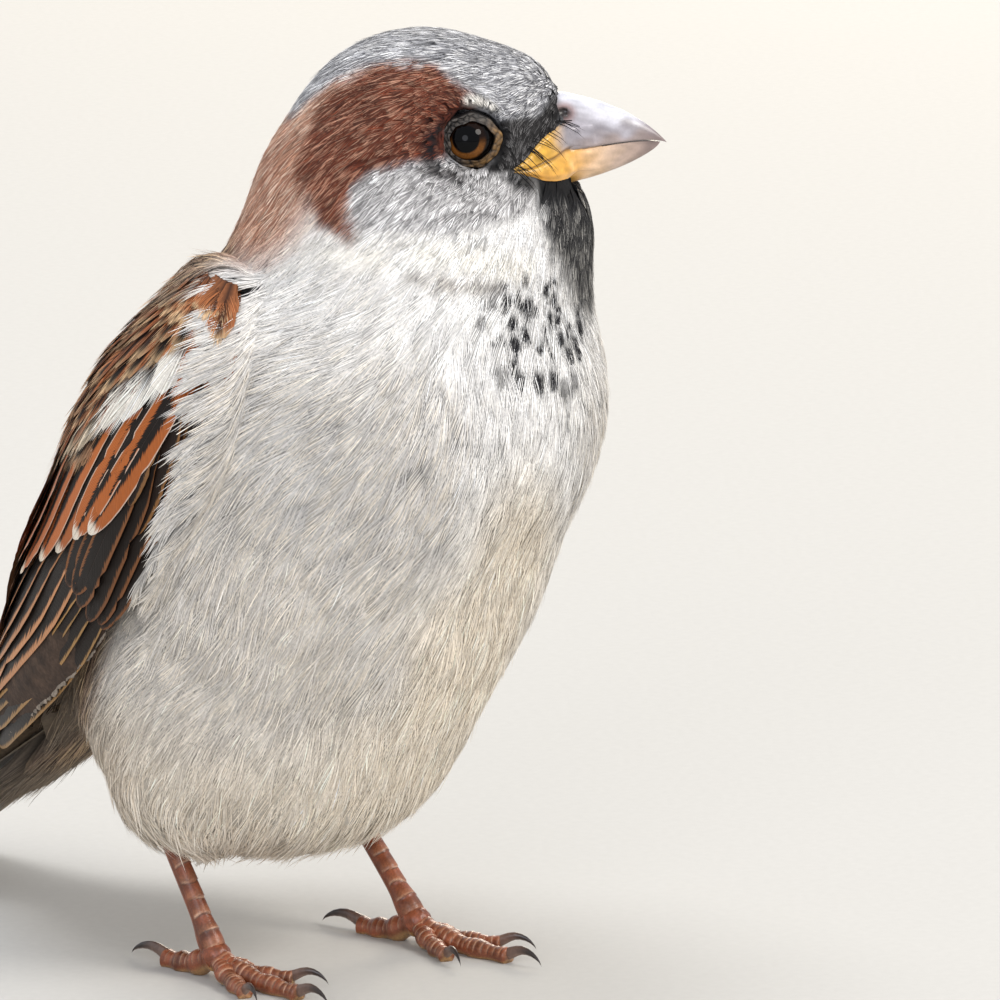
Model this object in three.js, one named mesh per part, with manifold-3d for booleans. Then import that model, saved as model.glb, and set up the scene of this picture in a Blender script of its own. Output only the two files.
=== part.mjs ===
// A life-size male house sparrow, standing upright and fluffed, its head turned to its left.
// Millimetres, +Z up. The body faces -Y, its left side is +X and its toes stand on Z = 0. The whole
// bird is shifted at the end so that the origin lies under the middle of its outer box.
// The feathered body is one blended form, parted into head, neck and trunk by thin cuts.
import * as THREE from "three";
import { mergeVertices } from "three/addons/utils/BufferGeometryUtils.js";
import Module from "manifold-3d";

const wasm = await Module();
wasm.setup();

// ---------- driving dimensions ----------
const GAP = 0.35; // clearance between neighbouring pieces
const HEAD_YAW = THREE.MathUtils.degToRad(45); // the head's turn to the bird's left
const HEAD_AT = new THREE.Vector3(2.2, -16.5, 100.7); // middle of the skull, at eye level
const FOOT_RIGHT = new THREE.Vector3(-14, 2.2, 2.7); // where the toes of each foot meet
const FOOT_LEFT = new THREE.Vector3(14, -2.3, 2.7);
const TARSUS_LENGTH = 19.5;
const TARSUS_RADIUS = 1.05;
const EYE_RADIUS = 2.9;
const EYE_SIDE = 7.4; // from the head's mid-plane to the eyeball's centre
const EYE_FORWARD = 4.5;
const EYE_UP = -0.8;
const TAIL_LENGTH = 55;
const THIGH_RADIUS = 4.6; // the leg feathers where they leave the belly
const THIGH_REACH = 5.4; // how far they come down the bare leg
const BLEND = 3.2; // how softly the body's forms run into each other

const vec = (x, y, z) => new THREE.Vector3(x, y, z);
const UP = vec(0, 0, 1);

// ---------- the head's own frame: forward, left, up from HEAD_AT ----------
const FORWARD = vec(Math.sin(HEAD_YAW), -Math.cos(HEAD_YAW), 0);
const LEFT = vec(Math.cos(HEAD_YAW), Math.sin(HEAD_YAW), 0);
const HEAD_FRAME = new THREE.Matrix4().makeBasis(FORWARD, LEFT, UP).setPosition(HEAD_AT);
const WORLD_FRAME = new THREE.Matrix4();
const inHead = (f, l, u) => vec(f, l, u).applyMatrix4(HEAD_FRAME);

// ---------- the body's forms: ellipsoids, each with its middle and its three half-sizes ----------
const form = (frame, at, size) => {
  const place = new THREE.Matrix4().makeTranslation(...at);
  return { inverse: frame.clone().multiply(place).invert(), size: vec(...size) };
};
const FORMS = [
  form(HEAD_FRAME, [-0.1, 0, 0.7], [12.3, 6.0, 7.9]), // skull
  form(HEAD_FRAME, [-2.4, 3.6, 1.6], [6.0, 2.6, 4.2]), // crown, over the left eye
  form(HEAD_FRAME, [-2.4, -3.6, 1.6], [6.0, 2.6, 4.2]), // crown, over the right eye
  form(HEAD_FRAME, [8.8, 0, -0.6], [6.2, 4.1, 5.6]), // lores, round the bill's base
  form(HEAD_FRAME, [0.3, 4.0, -6.0], [8.6, 4.2, 6.2]), // left cheek
  form(HEAD_FRAME, [0.3, -4.0, -6.0], [8.6, 4.2, 6.2]), // right cheek
  form(HEAD_FRAME, [9.9, 0, -12.5], [8, 7.0, 6.0]), // throat
  form(HEAD_FRAME, [-10.5, 0, -8], [8.2, 8.6, 7]), // nape
  form(HEAD_FRAME, [-3.2, 0, -15.5], [17.2, 15, 8.5]), // collar
  form(WORLD_FRAME, [0, -14.6, 68.8], [24.5, 23.2, 22.5]), // breast
  form(WORLD_FRAME, [0, -1.5, 64], [22.4, 20.6, 21]), // mantle
  form(WORLD_FRAME, [0, -2.6, 50], [27.2, 23.6, 24]), // belly
  form(WORLD_FRAME, [0, 6.6, 28.2], [22.5, 22, 16]), // vent and thighs
  form(WORLD_FRAME, [0, 17, 43], [20, 15, 19]), // rump
];

// Distance from the blended form's surface, roughly: negative inside.
const local = new THREE.Vector3();
function bodyField(p) {
  let sum = 0;
  for (const { inverse, size } of FORMS) {
    local.copy(p).applyMatrix4(inverse);
    const flat = local.length() || 1e-6;
    local.divide(size);
    const reach = local.length() || 1e-6;
    const distance = (flat * (reach - 1)) / reach;
    sum += Math.exp(-distance / BLEND);
  }
  return -BLEND * Math.log(sum);
}

// ---------- solids ----------
function toSolid(geometry) {
  const bare = geometry.clone();
  bare.deleteAttribute("normal");
  bare.deleteAttribute("uv");
  const merged = mergeVertices(bare, 1e-3);
  const mesh = new wasm.Mesh({
    numProp: 3,
    vertProperties: new Float32Array(merged.attributes.position.array),
    triVerts: new Uint32Array(merged.index.array),
  });
  return new wasm.Manifold(mesh);
}

function toGeometry(solid) {
  const mesh = solid.getMesh();
  const positions = new Float32Array(mesh.numVert * 3);
  for (let i = 0; i < mesh.numVert; i++) {
    const from = i * mesh.numProp;
    positions.set(mesh.vertProperties.subarray(from, from + 3), i * 3);
  }
  const geometry = new THREE.BufferGeometry();
  geometry.setAttribute("position", new THREE.BufferAttribute(positions, 3));
  geometry.setIndex(new THREE.BufferAttribute(new Uint32Array(mesh.triVerts), 1));
  geometry.computeVertexNormals();
  return geometry;
}

// A closed skin through rings of equal count, with a fan over each end ring's middle.
function loft(rings) {
  const count = rings[0].length;
  const points = rings.flat();
  const index = [];
  for (let row = 0; row < rings.length - 1; row++) {
    for (let k = 0; k < count; k++) {
      const a = row * count + k;
      const b = row * count + ((k + 1) % count);
      index.push(a, b, b + count, a, b + count, a + count);
    }
  }
  for (const last of [false, true]) {
    const ring = last ? rings[rings.length - 1] : rings[0];
    const start = last ? (rings.length - 1) * count : 0;
    const middle = ring.reduce((sum, p) => sum.add(p), vec(0, 0, 0)).divideScalar(count);
    const hub = points.push(middle) - 1;
    for (let k = 0; k < count; k++) {
      const a = start + k;
      const b = start + ((k + 1) % count);
      index.push(...(last ? [a, b, hub] : [b, a, hub]));
    }
  }
  const geometry = new THREE.BufferGeometry().setFromPoints(points);
  geometry.setIndex(index);
  return geometry;
}

// A loft whose faces point out whichever way its rings run.
function closedLoft(rings) {
  const solid = toSolid(loft(rings));
  return solid.volume() > 0 ? solid : toSolid(loft(rings.map((ring) => [...ring].reverse())));
}

// Rings of a round tube along a curve; size(t) gives [half-width, half-height] at t from 0 to 1.
function tubeRings(curve, steps, sides, size, across = vec(1, 0, 0)) {
  const rings = [];
  for (let i = 0; i <= steps; i++) {
    const t = i / steps;
    const along = curve.getTangent(t);
    const rise = new THREE.Vector3().crossVectors(across, along).normalize();
    const side = new THREE.Vector3().crossVectors(along, rise).normalize();
    const [width, height] = size(t);
    const at = curve.getPoint(t);
    const ring = [];
    for (let k = 0; k < sides; k++) {
      const angle = (2 * Math.PI * (k + 0.5)) / sides;
      const p = at.clone().addScaledVector(side, width * Math.cos(angle));
      ring.push(p.addScaledVector(rise, height * Math.sin(angle)));
    }
    rings.push(ring);
  }
  return rings;
}

const curveOf = (...points) => new THREE.CatmullRomCurve3(points, false, "centripetal");

// ---------- the feathered body ----------
const BODY_SIDES = 32;
const SPINE = curveOf(vec(0, 8, 29), vec(0, 0, 50), vec(0, -8.5, 70), vec(0.8, -13.5, 85), HEAD_AT);
const SPINE_ROWS = 18;
const DOME_ROWS = 6; // rows that close the crown, and as many the belly

const FAR_OUTSIDE = 75; // a distance from the spine that is outside the body everywhere
const HALVINGS = 26;

// The point where a ray from inside leaves the form, `level` outside its surface.
function surfaceAlong(origin, direction, level) {
  let inside = 0;
  let outside = FAR_OUTSIDE;
  const p = new THREE.Vector3();
  for (let i = 0; i < HALVINGS; i++) {
    const middle = (inside + outside) / 2;
    p.copy(origin).addScaledVector(direction, middle);
    if (bodyField(p) < level) inside = middle;
    else outside = middle;
  }
  return origin.clone().addScaledVector(direction, inside);
}

function bodySolid(level = 0) {
  const rings = [];
  const addRing = (origin, lift) => {
    const ring = [];
    for (let k = 0; k < BODY_SIDES; k++) {
      const turn = (2 * Math.PI * k) / BODY_SIDES;
      const flat = vec(Math.sin(turn) * Math.cos(lift), -Math.cos(turn) * Math.cos(lift), Math.sin(lift));
      ring.push(surfaceAlong(origin, flat, level));
    }
    rings.push(ring);
  };
  for (let i = 1; i <= DOME_ROWS; i++) addRing(SPINE.getPoint(0), (-Math.PI / 2) * (1 - i / (DOME_ROWS + 1)));
  for (let i = 0; i <= SPINE_ROWS; i++) addRing(SPINE.getPoint(i / SPINE_ROWS), 0);
  for (let i = 1; i <= DOME_ROWS; i++) addRing(SPINE.getPoint(1), (Math.PI / 2) * (i / (DOME_ROWS + 1)));
  return closedLoft(rings);
}

// ---------- bill: an upper and a lower half, in the head's frame ----------
const BILL_TIP = 27; // forward of the skull's middle
const BILL_RINGS = 8;
const BILL_SIDES = 12;
const BILL_ROOT = 8.5; // the horn starts inside the face
const CULMEN_RISE = 7.2; // the ridge above the gape line, at the root
const GONYS_DROP = 4.3;
const BILL_HALF_WIDTH = 3.9;
const HOOK = 0.8; // the upper tip turns down over the lower one
const LOWER_SHORTFALL = 0.8;
const GAPE_AT_TIP = -1.7;
const GAPE_FALL = 2.2; // the gape line drops this much from the tip back to the root

const gapeHeight = (f) => {
  const back = (BILL_TIP - f) / (BILL_TIP - BILL_ROOT);
  return GAPE_AT_TIP - GAPE_FALL * back ** 1.2 - HOOK * (1 - back) ** 10;
};

function billHalf(upper, grow = 0) {
  const tip = upper ? BILL_TIP : BILL_TIP - LOWER_SHORTFALL;
  const sign = upper ? 1 : -1;
  const rings = [];
  for (let i = 0; i <= BILL_RINGS; i++) {
    const f = THREE.MathUtils.lerp(BILL_ROOT - grow, tip, i / BILL_RINGS);
    const t = Math.max(f - BILL_ROOT, 0) / (tip - BILL_ROOT);
    const taper = Math.max(upper ? 1 - t ** 1.9 : (1 - t ** 3) ** 0.7, 0.04);
    const width = BILL_HALF_WIDTH * Math.max(1 - t ** 1.7, 0.05) + grow;
    const height = (upper ? CULMEN_RISE : GONYS_DROP) * taper + 2 * grow;
    const seam = gapeHeight(f) - (upper ? 0 : GAP) - sign * grow;
    const ring = [];
    for (let k = 0; k < BILL_SIDES; k++) {
      const angle = (Math.PI * k) / (BILL_SIDES - 1);
      const arch = Math.max(Math.sin(angle), 0) ** 0.85;
      ring.push(inHead(f, width * Math.cos(angle), seam + sign * height * arch));
    }
    rings.push(ring);
  }
  return closedLoft(rings);
}

// ---------- eyes ----------
function eyeSolid(side, grow = 0) {
  const ball = new THREE.SphereGeometry(EYE_RADIUS + grow, 14, 8);
  const at = inHead(EYE_FORWARD, side * EYE_SIDE, EYE_UP);
  return toSolid(ball.applyMatrix4(new THREE.Matrix4().setPosition(at)));
}

// ---------- wing: a plate that hugs the body from the shoulder and runs free at its tip ----------
const WING_STEPS = 18;
const WING_ACROSS = 7;
const LOWER_EDGE = [
  vec(20.5, -10, 84),
  vec(27, -12, 71),
  vec(28.9, -6.5, 58),
  vec(28.5, 4.8, 44),
  vec(25.5, 15, 34.5),
  vec(18, 30, 25.5),
  vec(12.5, 39, 21.5),
  vec(8.2, 45.5, 20.6),
];
const UPPER_EDGE = [
  vec(15, -2, 85),
  vec(11.5, 11, 75),
  vec(9.5, 20, 62),
  vec(7.5, 27, 50),
  vec(6, 33, 40.5),
  vec(5, 39.5, 32.5),
  vec(4.6, 44.5, 26.5),
  vec(4.2, 48.5, 23),
];
const COVERT_STEPS = [
  [0.3, 0.35], // the lesser and median coverts end here, standing this much proud
  [0.52, 0.4], // the greater coverts
  [0.76, 0.35], // the tertials
];
const WING_EDGE_THICKNESS = 0.6;
const WING_BLADE = 0.5; // more than the edges along the middle, out to the tip
const WING_MUSCLE = 3.4; // and this much more toward the shoulder
const WING_CAMBER = 0.26; // the bow across the wing, as a share of its width
const WING_LIFT = GAP + 0.3; // its clearance over the body
const WING_FREE = [0.35, 0.75]; // between these shares of its length it leaves the body

function wingThickness(s, t) {
  const across = Math.sin(Math.PI * t) ** 0.5;
  const steps = COVERT_STEPS.reduce((sum, [end, rise]) => sum + (s < end ? rise : 0), 0);
  const shoulder = THREE.MathUtils.smoothstep(s, -0.02, 0.24);
  const depth = WING_BLADE + steps + WING_MUSCLE * (1 - s) ** 1.2;
  return WING_EDGE_THICKNESS + across * shoulder * depth;
}

// The nearest height on the spine to a point of the wing, as a share of the spine's length.
const spineShare = (z) => THREE.MathUtils.clamp((z - 29) / 75, 0, 1);

function wingSolid(side) {
  const mirror = (p) => vec(side * p.x, p.y, p.z);
  const lower = curveOf(...LOWER_EDGE.map(mirror));
  const upper = curveOf(...UPPER_EDGE.map(mirror));
  const inner = [];
  const outer = [];
  for (let i = 0; i <= WING_STEPS; i++) {
    const s = i / WING_STEPS;
    const a = lower.getPoint(s);
    const b = upper.getPoint(s);
    const middle = a.clone().lerp(b, 0.5);
    const core = SPINE.getPoint(spineShare(middle.z));
    const bow = middle.sub(core).setZ(0).normalize();
    for (let j = 0; j <= WING_ACROSS; j++) {
      const t = j / WING_ACROSS;
      const p = a.clone().lerp(b, t);
      const away = p.clone().sub(core).setZ(0).normalize();
      p.addScaledVector(bow, WING_CAMBER * a.distanceTo(b) * Math.sin(Math.PI * t));
      for (let tries = 0; tries < 12 && bodyField(p) < WING_LIFT; tries++) {
        p.addScaledVector(away, Math.max(WING_LIFT - bodyField(p), 0.02));
      }
      const fall = Math.max(bodyField(p) - WING_LIFT, 0);
      const hold = 1 - THREE.MathUtils.smoothstep(s, ...WING_FREE);
      p.addScaledVector(away, -0.95 * fall * hold);
      inner.push(p);
      outer.push(p.clone().addScaledVector(away, wingThickness(s, t)));
    }
  }
  const row = WING_ACROSS + 1;
  const rings = [];
  for (let i = 0; i <= WING_STEPS; i++) {
    const below = inner.slice(i * row, (i + 1) * row);
    const above = outer.slice(i * row, (i + 1) * row).reverse();
    rings.push([...below, ...above]);
  }
  return closedLoft(rings);
}

// ---------- tail: under-tail coverts that thin into a fan of closed feathers ----------
const TAIL_ROOT = vec(0, 26, 32);
const TAIL_END = vec(0, 70.3, 1.6);
const TAIL_STEPS = 12;
const TAIL_SIDES = 14;
const TAIL_HALF_WIDTH = [6.6, 9.4]; // at the root and near the end
const TAIL_NOTCH = 2.4; // the middle feathers end this much short
const COVERT_SHARE = 0.62; // of the tail's length, covered by the tail coverts
const TAIL_ABOVE = [0.75, 3.2]; // the fan's own half-thickness, and the coverts' at the root
const TAIL_BELOW = [0.35, 6.4];

function tailSolid() {
  const along = TAIL_END.clone().sub(TAIL_ROOT).setLength(TAIL_LENGTH);
  const ahead = along.clone().normalize();
  const back = new THREE.Vector3().crossVectors(ahead, vec(1, 0, 0)).normalize();
  const rings = [];
  for (let i = 0; i <= TAIL_STEPS; i++) {
    const t = i / TAIL_STEPS;
    const covert = Math.max(1 - t / COVERT_SHARE, 0);
    const fan = THREE.MathUtils.lerp(...TAIL_HALF_WIDTH, t) - 1.2 * t ** 6;
    const width = fan + 2.2 * Math.sin(Math.PI * covert);
    const above = TAIL_ABOVE[0] + TAIL_ABOVE[1] * covert ** 1.3;
    const below = TAIL_BELOW[0] + TAIL_BELOW[1] * covert ** 0.9;
    const ring = [];
    for (let k = 0; k < TAIL_SIDES; k++) {
      const angle = (2 * Math.PI * k) / TAIL_SIDES;
      const rise = Math.sin(angle) * (Math.sin(angle) > 0 ? above : below);
      const notch = t > 0.9 ? TAIL_NOTCH * (1 - Math.abs(Math.cos(angle))) : 0;
      const p = TAIL_ROOT.clone().addScaledVector(along, t).addScaledVector(back, rise);
      ring.push(p.addScaledVector(ahead, -notch).add(vec(width * Math.cos(angle), 0, 0)));
    }
    rings.push(ring);
  }
  return closedLoft(rings);
}

// ---------- legs ----------
const LEGS = {
  right: { foot: FOOT_RIGHT, side: -1, lean: 32, toeTurn: 2 },
  left: { foot: FOOT_LEFT, side: 1, lean: 43, toeTurn: 4 },
};
const TOES = [
  // name, turn from straight ahead (outward is +), length, radius at the base
  ["hind", 180, 8.6, 1.25],
  ["inner", -27, 9.6, 1.0],
  ["middle", 0, 14.4, 1.1],
  ["outer", 23, 10.4, 1.0],
];
const TOE_JOINTS = 3;
const ANKLE_CLEARANCE = 2.1; // from the foot's middle to the bare leg's lower end
const FOOT_BALL_RADIUS = 1.75;
const CLAW_LENGTH = { hind: 6.2, inner: 4.2, middle: 4.8, outer: 4.2 };

const tarsusTop = ({ foot, lean }) => {
  const angle = THREE.MathUtils.degToRad(lean);
  return foot.clone().add(vec(0, TARSUS_LENGTH * Math.sin(angle), TARSUS_LENGTH * Math.cos(angle)));
};

function tarsusSolid(leg, grow = 0) {
  const top = tarsusTop(leg);
  const up = top.clone().sub(leg.foot).normalize();
  const low = leg.foot.clone().addScaledVector(up, ANKLE_CLEARANCE - grow);
  top.addScaledVector(up, grow);
  const curve = curveOf(low, low.clone().lerp(top, 0.5), top);
  const bump = (t, at, rise) => rise * Math.exp(-(((t - at) / 0.12) ** 2));
  const size = (t) => {
    const knob = bump(t, 1, 0.35) + bump(t, 0, 0.3);
    return [TARSUS_RADIUS * 0.92 + knob + grow, TARSUS_RADIUS * 1.1 + knob + grow];
  };
  return closedLoft(tubeRings(curve, 8, 10, size));
}

function toeDirection(leg, turn) {
  const ahead = THREE.MathUtils.degToRad(leg.side * (turn + leg.toeTurn));
  return vec(Math.sin(ahead), -Math.cos(ahead), 0);
}

// Whatever would pass below the floor is flattened onto it.
const onFloor = (rings) => rings.map((ring) => ring.map((p) => p.setZ(Math.max(p.z, 0))));

// A tube that runs out from `start` along `out`, through pairs of [distance, height].
function lyingTube(start, out, profile, steps, sides, size) {
  const at = ([reach, height]) => start.clone().addScaledVector(out, reach).setZ(height);
  const across = new THREE.Vector3().crossVectors(out, UP).normalize();
  return closedLoft(onFloor(tubeRings(curveOf(...profile.map(at)), steps, sides, size, across)));
}

// A toe arches from the foot's ball to its last pad, which rests flat on the floor.
function toeSolid(leg, [, turn, length, radius]) {
  const shape = [[0, 2.5], [0.22, 1.7], [0.5, 0.95], [0.78, 0.76], [1, 0.72]];
  const profile = shape.map(([share, height]) => [share * length, height]);
  const size = (t) => {
    const pads = 1 + 0.13 * Math.cos(2 * Math.PI * TOE_JOINTS * t);
    const r = radius * (1.12 - 0.32 * t) * pads;
    return [r, r];
  };
  return lyingTube(leg.foot, toeDirection(leg, turn), profile, 9, 8, size);
}

function footSolid(leg) {
  const place = new THREE.Matrix4().setPosition(leg.foot);
  const ball = toSolid(new THREE.SphereGeometry(FOOT_BALL_RADIUS, 10, 6).applyMatrix4(place));
  return TOES.reduce((sum, toe) => sum.add(toeSolid(leg, toe)), ball);
}

// A claw leaves the toe's end, arches up and comes down to the floor at its point.
function clawSolid(leg, [name, turn, length, radius]) {
  const shape = [[0, 1.25], [0.3, 1.75], [0.62, 1.55], [0.86, 0.85], [0.94, 0.3]];
  const profile = shape.map(([share, height]) => [length + GAP + share * CLAW_LENGTH[name], height]);
  const size = (t) => [radius * 0.5 * (1 - 0.62 * t), radius * 0.72 * (1 - 0.66 * t)];
  return lyingTube(leg.foot, toeDirection(leg, turn), profile, 6, 6, size);
}

// Leg feathers: a short tuft that stands out of the belly round the top of the bare leg.
function thighSolid(leg) {
  const top = tarsusTop(leg);
  const down = leg.foot.clone().sub(top).normalize();
  const inside = top.clone().addScaledVector(down, -5);
  const low = top.clone().addScaledVector(down, THIGH_REACH);
  const size = (t) => {
    const r = THIGH_RADIUS * (1 - 0.62 * t ** 2);
    return [r, r * 1.1];
  };
  return closedLoft(tubeRings(curveOf(inside, top, low), 6, 12, size));
}

// ---------- assembly ----------
const HALF_SPACE = 300; // edge of a box that holds all of one side of a cut

// The part of a solid on the side that the normal points to, from the plane on.
function beyond(solid, at, normal) {
  const middle = at.clone().addScaledVector(normal, HALF_SPACE / 2);
  const turn = new THREE.Quaternion().setFromUnitVectors(UP, normal);
  const place = new THREE.Matrix4().compose(middle, turn, vec(1, 1, 1));
  const box = new THREE.BoxGeometry(HALF_SPACE, HALF_SPACE, HALF_SPACE).applyMatrix4(place);
  return solid.intersect(toSolid(box));
}

const NECK_TOP = { at: inHead(-2, 0, -12), normal: vec(-0.1, 0.1, 1).normalize() };
const NECK_FOOT = { at: vec(0, -14, 81), normal: vec(0, -0.25, 1).normalize() };
const shifted = ({ at, normal }, by) => at.clone().addScaledVector(normal, by);
const reversed = (normal) => normal.clone().negate();

const finish = (colour, roughness) =>
  new THREE.MeshStandardMaterial({ color: colour, roughness, metalness: 0 });
const FINISHES = {
  crown: finish("#9a6a55", 0.9),
  collar: finish("#d9d4cd", 0.9),
  plumage: finish("#cfc8bf", 0.9),
  wing: finish("#9c5a30", 0.8),
  tail: finish("#6b5444", 0.8),
  horn: finish("#a89c98", 0.45),
  eye: finish("#1a120e", 0.1),
  skin: finish("#8d5a45", 0.6),
  claw: finish("#5a4238", 0.45),
};

const group = new THREE.Group();
function addPiece(name, solid, material) {
  const mesh = new THREE.Mesh(toGeometry(solid), material);
  mesh.name = name;
  group.add(mesh);
}

const body = bodySolid();
const grownBody = bodySolid(GAP);

let head = beyond(body, shifted(NECK_TOP, GAP / 2), NECK_TOP.normal);
const neckLow = beyond(body, shifted(NECK_FOOT, GAP / 2), NECK_FOOT.normal);
const neck = beyond(neckLow, shifted(NECK_TOP, -GAP / 2), reversed(NECK_TOP.normal));
let trunk = beyond(body, shifted(NECK_FOOT, -GAP / 2), reversed(NECK_FOOT.normal));

for (const upper of [true, false]) {
  head = head.subtract(billHalf(upper, GAP));
  addPiece(upper ? "bill_upper" : "bill_lower", billHalf(upper), FINISHES.horn);
}
for (const [name, side] of [["eye_left", 1], ["eye_right", -1]]) {
  head = head.subtract(eyeSolid(side, GAP));
  addPiece(name, eyeSolid(side), FINISHES.eye);
}

for (const [side, leg] of Object.entries(LEGS)) {
  const tarsus = tarsusSolid(leg);
  const socket = tarsusSolid(leg, GAP);
  const thigh = thighSolid(leg).subtract(grownBody).subtract(socket);
  trunk = trunk.subtract(socket);
  addPiece("thigh_" + side, thigh, FINISHES.plumage);
  addPiece("tarsus_" + side, tarsus, FINISHES.skin);
  addPiece("foot_" + side, footSolid(leg).subtract(socket), FINISHES.skin);
  for (const toe of TOES) addPiece("claw_" + side + "_" + toe[0], clawSolid(leg, toe), FINISHES.claw);
  addPiece("wing_" + side, wingSolid(leg.side), FINISHES.wing);
}
addPiece("head", head, FINISHES.crown);
addPiece("neck", neck, FINISHES.collar);
addPiece("trunk", trunk, FINISHES.plumage);
addPiece("tail", tailSolid().subtract(grownBody), FINISHES.tail);

// The origin goes to the floor under the middle of the outer box.
const box = new THREE.Box3().setFromObject(group);
const middle = box.getCenter(new THREE.Vector3());
for (const mesh of group.children) mesh.geometry.translate(-middle.x, -middle.y, -box.min.z);

export default group;
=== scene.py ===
"""A life-size house sparrow, dressed with skin, feathers, eyes, bill and scaly legs."""

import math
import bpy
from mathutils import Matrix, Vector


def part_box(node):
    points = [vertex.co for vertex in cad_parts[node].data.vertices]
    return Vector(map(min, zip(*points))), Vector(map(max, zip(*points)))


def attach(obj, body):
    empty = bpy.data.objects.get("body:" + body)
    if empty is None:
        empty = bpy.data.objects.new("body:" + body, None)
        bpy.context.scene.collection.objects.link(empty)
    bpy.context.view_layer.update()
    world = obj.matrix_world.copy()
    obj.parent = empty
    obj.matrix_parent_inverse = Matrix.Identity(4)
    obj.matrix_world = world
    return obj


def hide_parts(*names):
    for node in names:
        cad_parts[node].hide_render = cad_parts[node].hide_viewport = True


bl_info = {
    "name": "House sparrow",
    "version": (1, 0, 0),
    "blender": (4, 5, 0),
    "location": "3D View > Sidebar > Sparrow",
    "description": "Dresses the sparrow's solids with skin, coat, wing and tail feathers",
    "category": "Add Mesh",
}

from types import SimpleNamespace

import bmesh
import bpy
import numpy as np
from bpy.props import FloatProperty, FloatVectorProperty, IntProperty, PointerProperty
from mathutils import Vector
from mathutils.bvhtree import BVHTree

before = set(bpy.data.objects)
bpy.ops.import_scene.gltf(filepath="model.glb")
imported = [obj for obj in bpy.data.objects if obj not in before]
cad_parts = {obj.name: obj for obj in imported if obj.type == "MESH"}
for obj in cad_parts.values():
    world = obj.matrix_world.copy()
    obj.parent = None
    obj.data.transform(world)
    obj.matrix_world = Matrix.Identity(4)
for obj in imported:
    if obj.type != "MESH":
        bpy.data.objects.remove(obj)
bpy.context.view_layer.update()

MM = 0.001  # all shapes below are worked out in millimetres
FLESH = ("head", "neck", "trunk", "thigh_left", "thigh_right")
SIDES = {"right": -1, "left": 1}  # the bird's own sides


# ---------- numbers and directions ----------
def linear(code):
    """The linear colour of an sRGB hex value."""
    srgb = np.array([int(code[i : i + 2], 16) for i in (1, 3, 5)]) / 255
    return np.where(srgb <= 0.04045, srgb / 12.92, ((srgb + 0.055) / 1.055) ** 2.4)


def unit(v):
    """Vectors of length 1."""
    return v / np.maximum(np.linalg.norm(v, axis=-1, keepdims=True), 1e-12)


def smooth(low, high, x):
    """0 before low, 1 after high, with a soft change between; low may be above high."""
    t = np.clip((np.asarray(x, float) - low) / (high - low), 0, 1)
    return t * t * (3 - 2 * t)


def blend(a, b, share):
    """From a at share 0 to b at share 1."""
    return a + (b - a) * share


def toward(colour, code, share):
    """Rows of colours, each moved toward the colour of a hex value by its own share."""
    return blend(colour, linear(code), np.clip(share, 0, 1)[:, None])


def plain(code, count):
    """The same colour for a number of points."""
    return np.repeat(linear(code)[None], count, axis=0)


def box_middle(node):
    """The middle of a node's box, in mm."""
    return np.array(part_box(node)).mean(axis=0) / MM


EYE_RIGHT, EYE_LEFT = box_middle("eye_right"), box_middle("eye_left")
UP = np.array((0.0, 0.0, 1.0))
LEFT = unit(EYE_LEFT - EYE_RIGHT)
FORWARD = np.cross(LEFT, UP)
EYE_AHEAD, EYE_ABOVE = 4.5, -0.8  # of the eyes, from the middle of the skull
HEAD = (EYE_RIGHT + EYE_LEFT) / 2 - EYE_AHEAD * FORWARD - EYE_ABOVE * UP
HEAD_AXES = np.array((FORWARD, LEFT, UP))
SPINE = np.array(((0, 12, 18), (0, -8.8, 29), (0, -16.8, 50), (0, -25.3, 70), (0.8, -30.3, 85), HEAD))


def in_head(forward, left, up):
    """A place given from the middle of the skull, in the bird's own directions."""
    return HEAD + np.array((forward, left, up)) @ HEAD_AXES


def to_head(points):
    """Places as forward, left and up from the middle of the skull."""
    return (points - HEAD) @ HEAD_AXES.T


def to_half_head(points):
    """Places as forward, away from the middle and up in the head, with both sides taken as one."""
    q = to_head(points)
    q[:, 1] = np.abs(q[:, 1])
    return q


def behind_spine(points):
    """How far behind the spine each place is, in mm."""
    return points[:, 1] - np.interp(points[:, 2], SPINE[:, 2], SPINE[:, 1])


def ripple(points, size, seed, waves=7):
    """A soft random pattern between about -1 and 1, with lumps of the given size in mm."""
    rng = np.random.default_rng(seed)
    total = np.zeros(points.shape[:-1])
    for direction in unit(rng.normal(size=(waves, 3))):
        pace = 2 * math.pi / (size * rng.uniform(0.8, 1.9))
        total += np.sin(points @ direction * pace + rng.uniform(0, 2 * math.pi))
    return total / math.sqrt(waves) / 0.9


def bent_line(points, shares):
    """Places along a smooth curve through the points, at shares from 0 to 1 of its knots."""
    points = np.array(points, float)
    x = np.clip(np.asarray(shares, float), 0, 1) * (len(points) - 1)
    i = np.minimum(x.astype(int), len(points) - 2)
    w = (x - i)[..., None]
    padded = np.vstack((2 * points[0] - points[1], points, 2 * points[-1] - points[-2]))
    p0, p1, p2, p3 = (padded[i + k] for k in range(4))
    return 0.5 * (
        2 * p1 + (p2 - p0) * w + (2 * p0 - 5 * p1 + 4 * p2 - p3) * w**2
        + (3 * p1 - 3 * p2 + p3 - p0) * w**3
    )


# ---------- meshes ----------
def read_mesh(mesh):
    """Points in mm and triangles of a mesh."""
    mesh.calc_loop_triangles()
    points = np.empty(len(mesh.vertices) * 3)
    mesh.vertices.foreach_get("co", points)
    faces = np.empty(len(mesh.loop_triangles) * 3, int)
    mesh.loop_triangles.foreach_get("vertices", faces)
    return points.reshape(-1, 3) / MM, faces.reshape(-1, 3)


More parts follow.
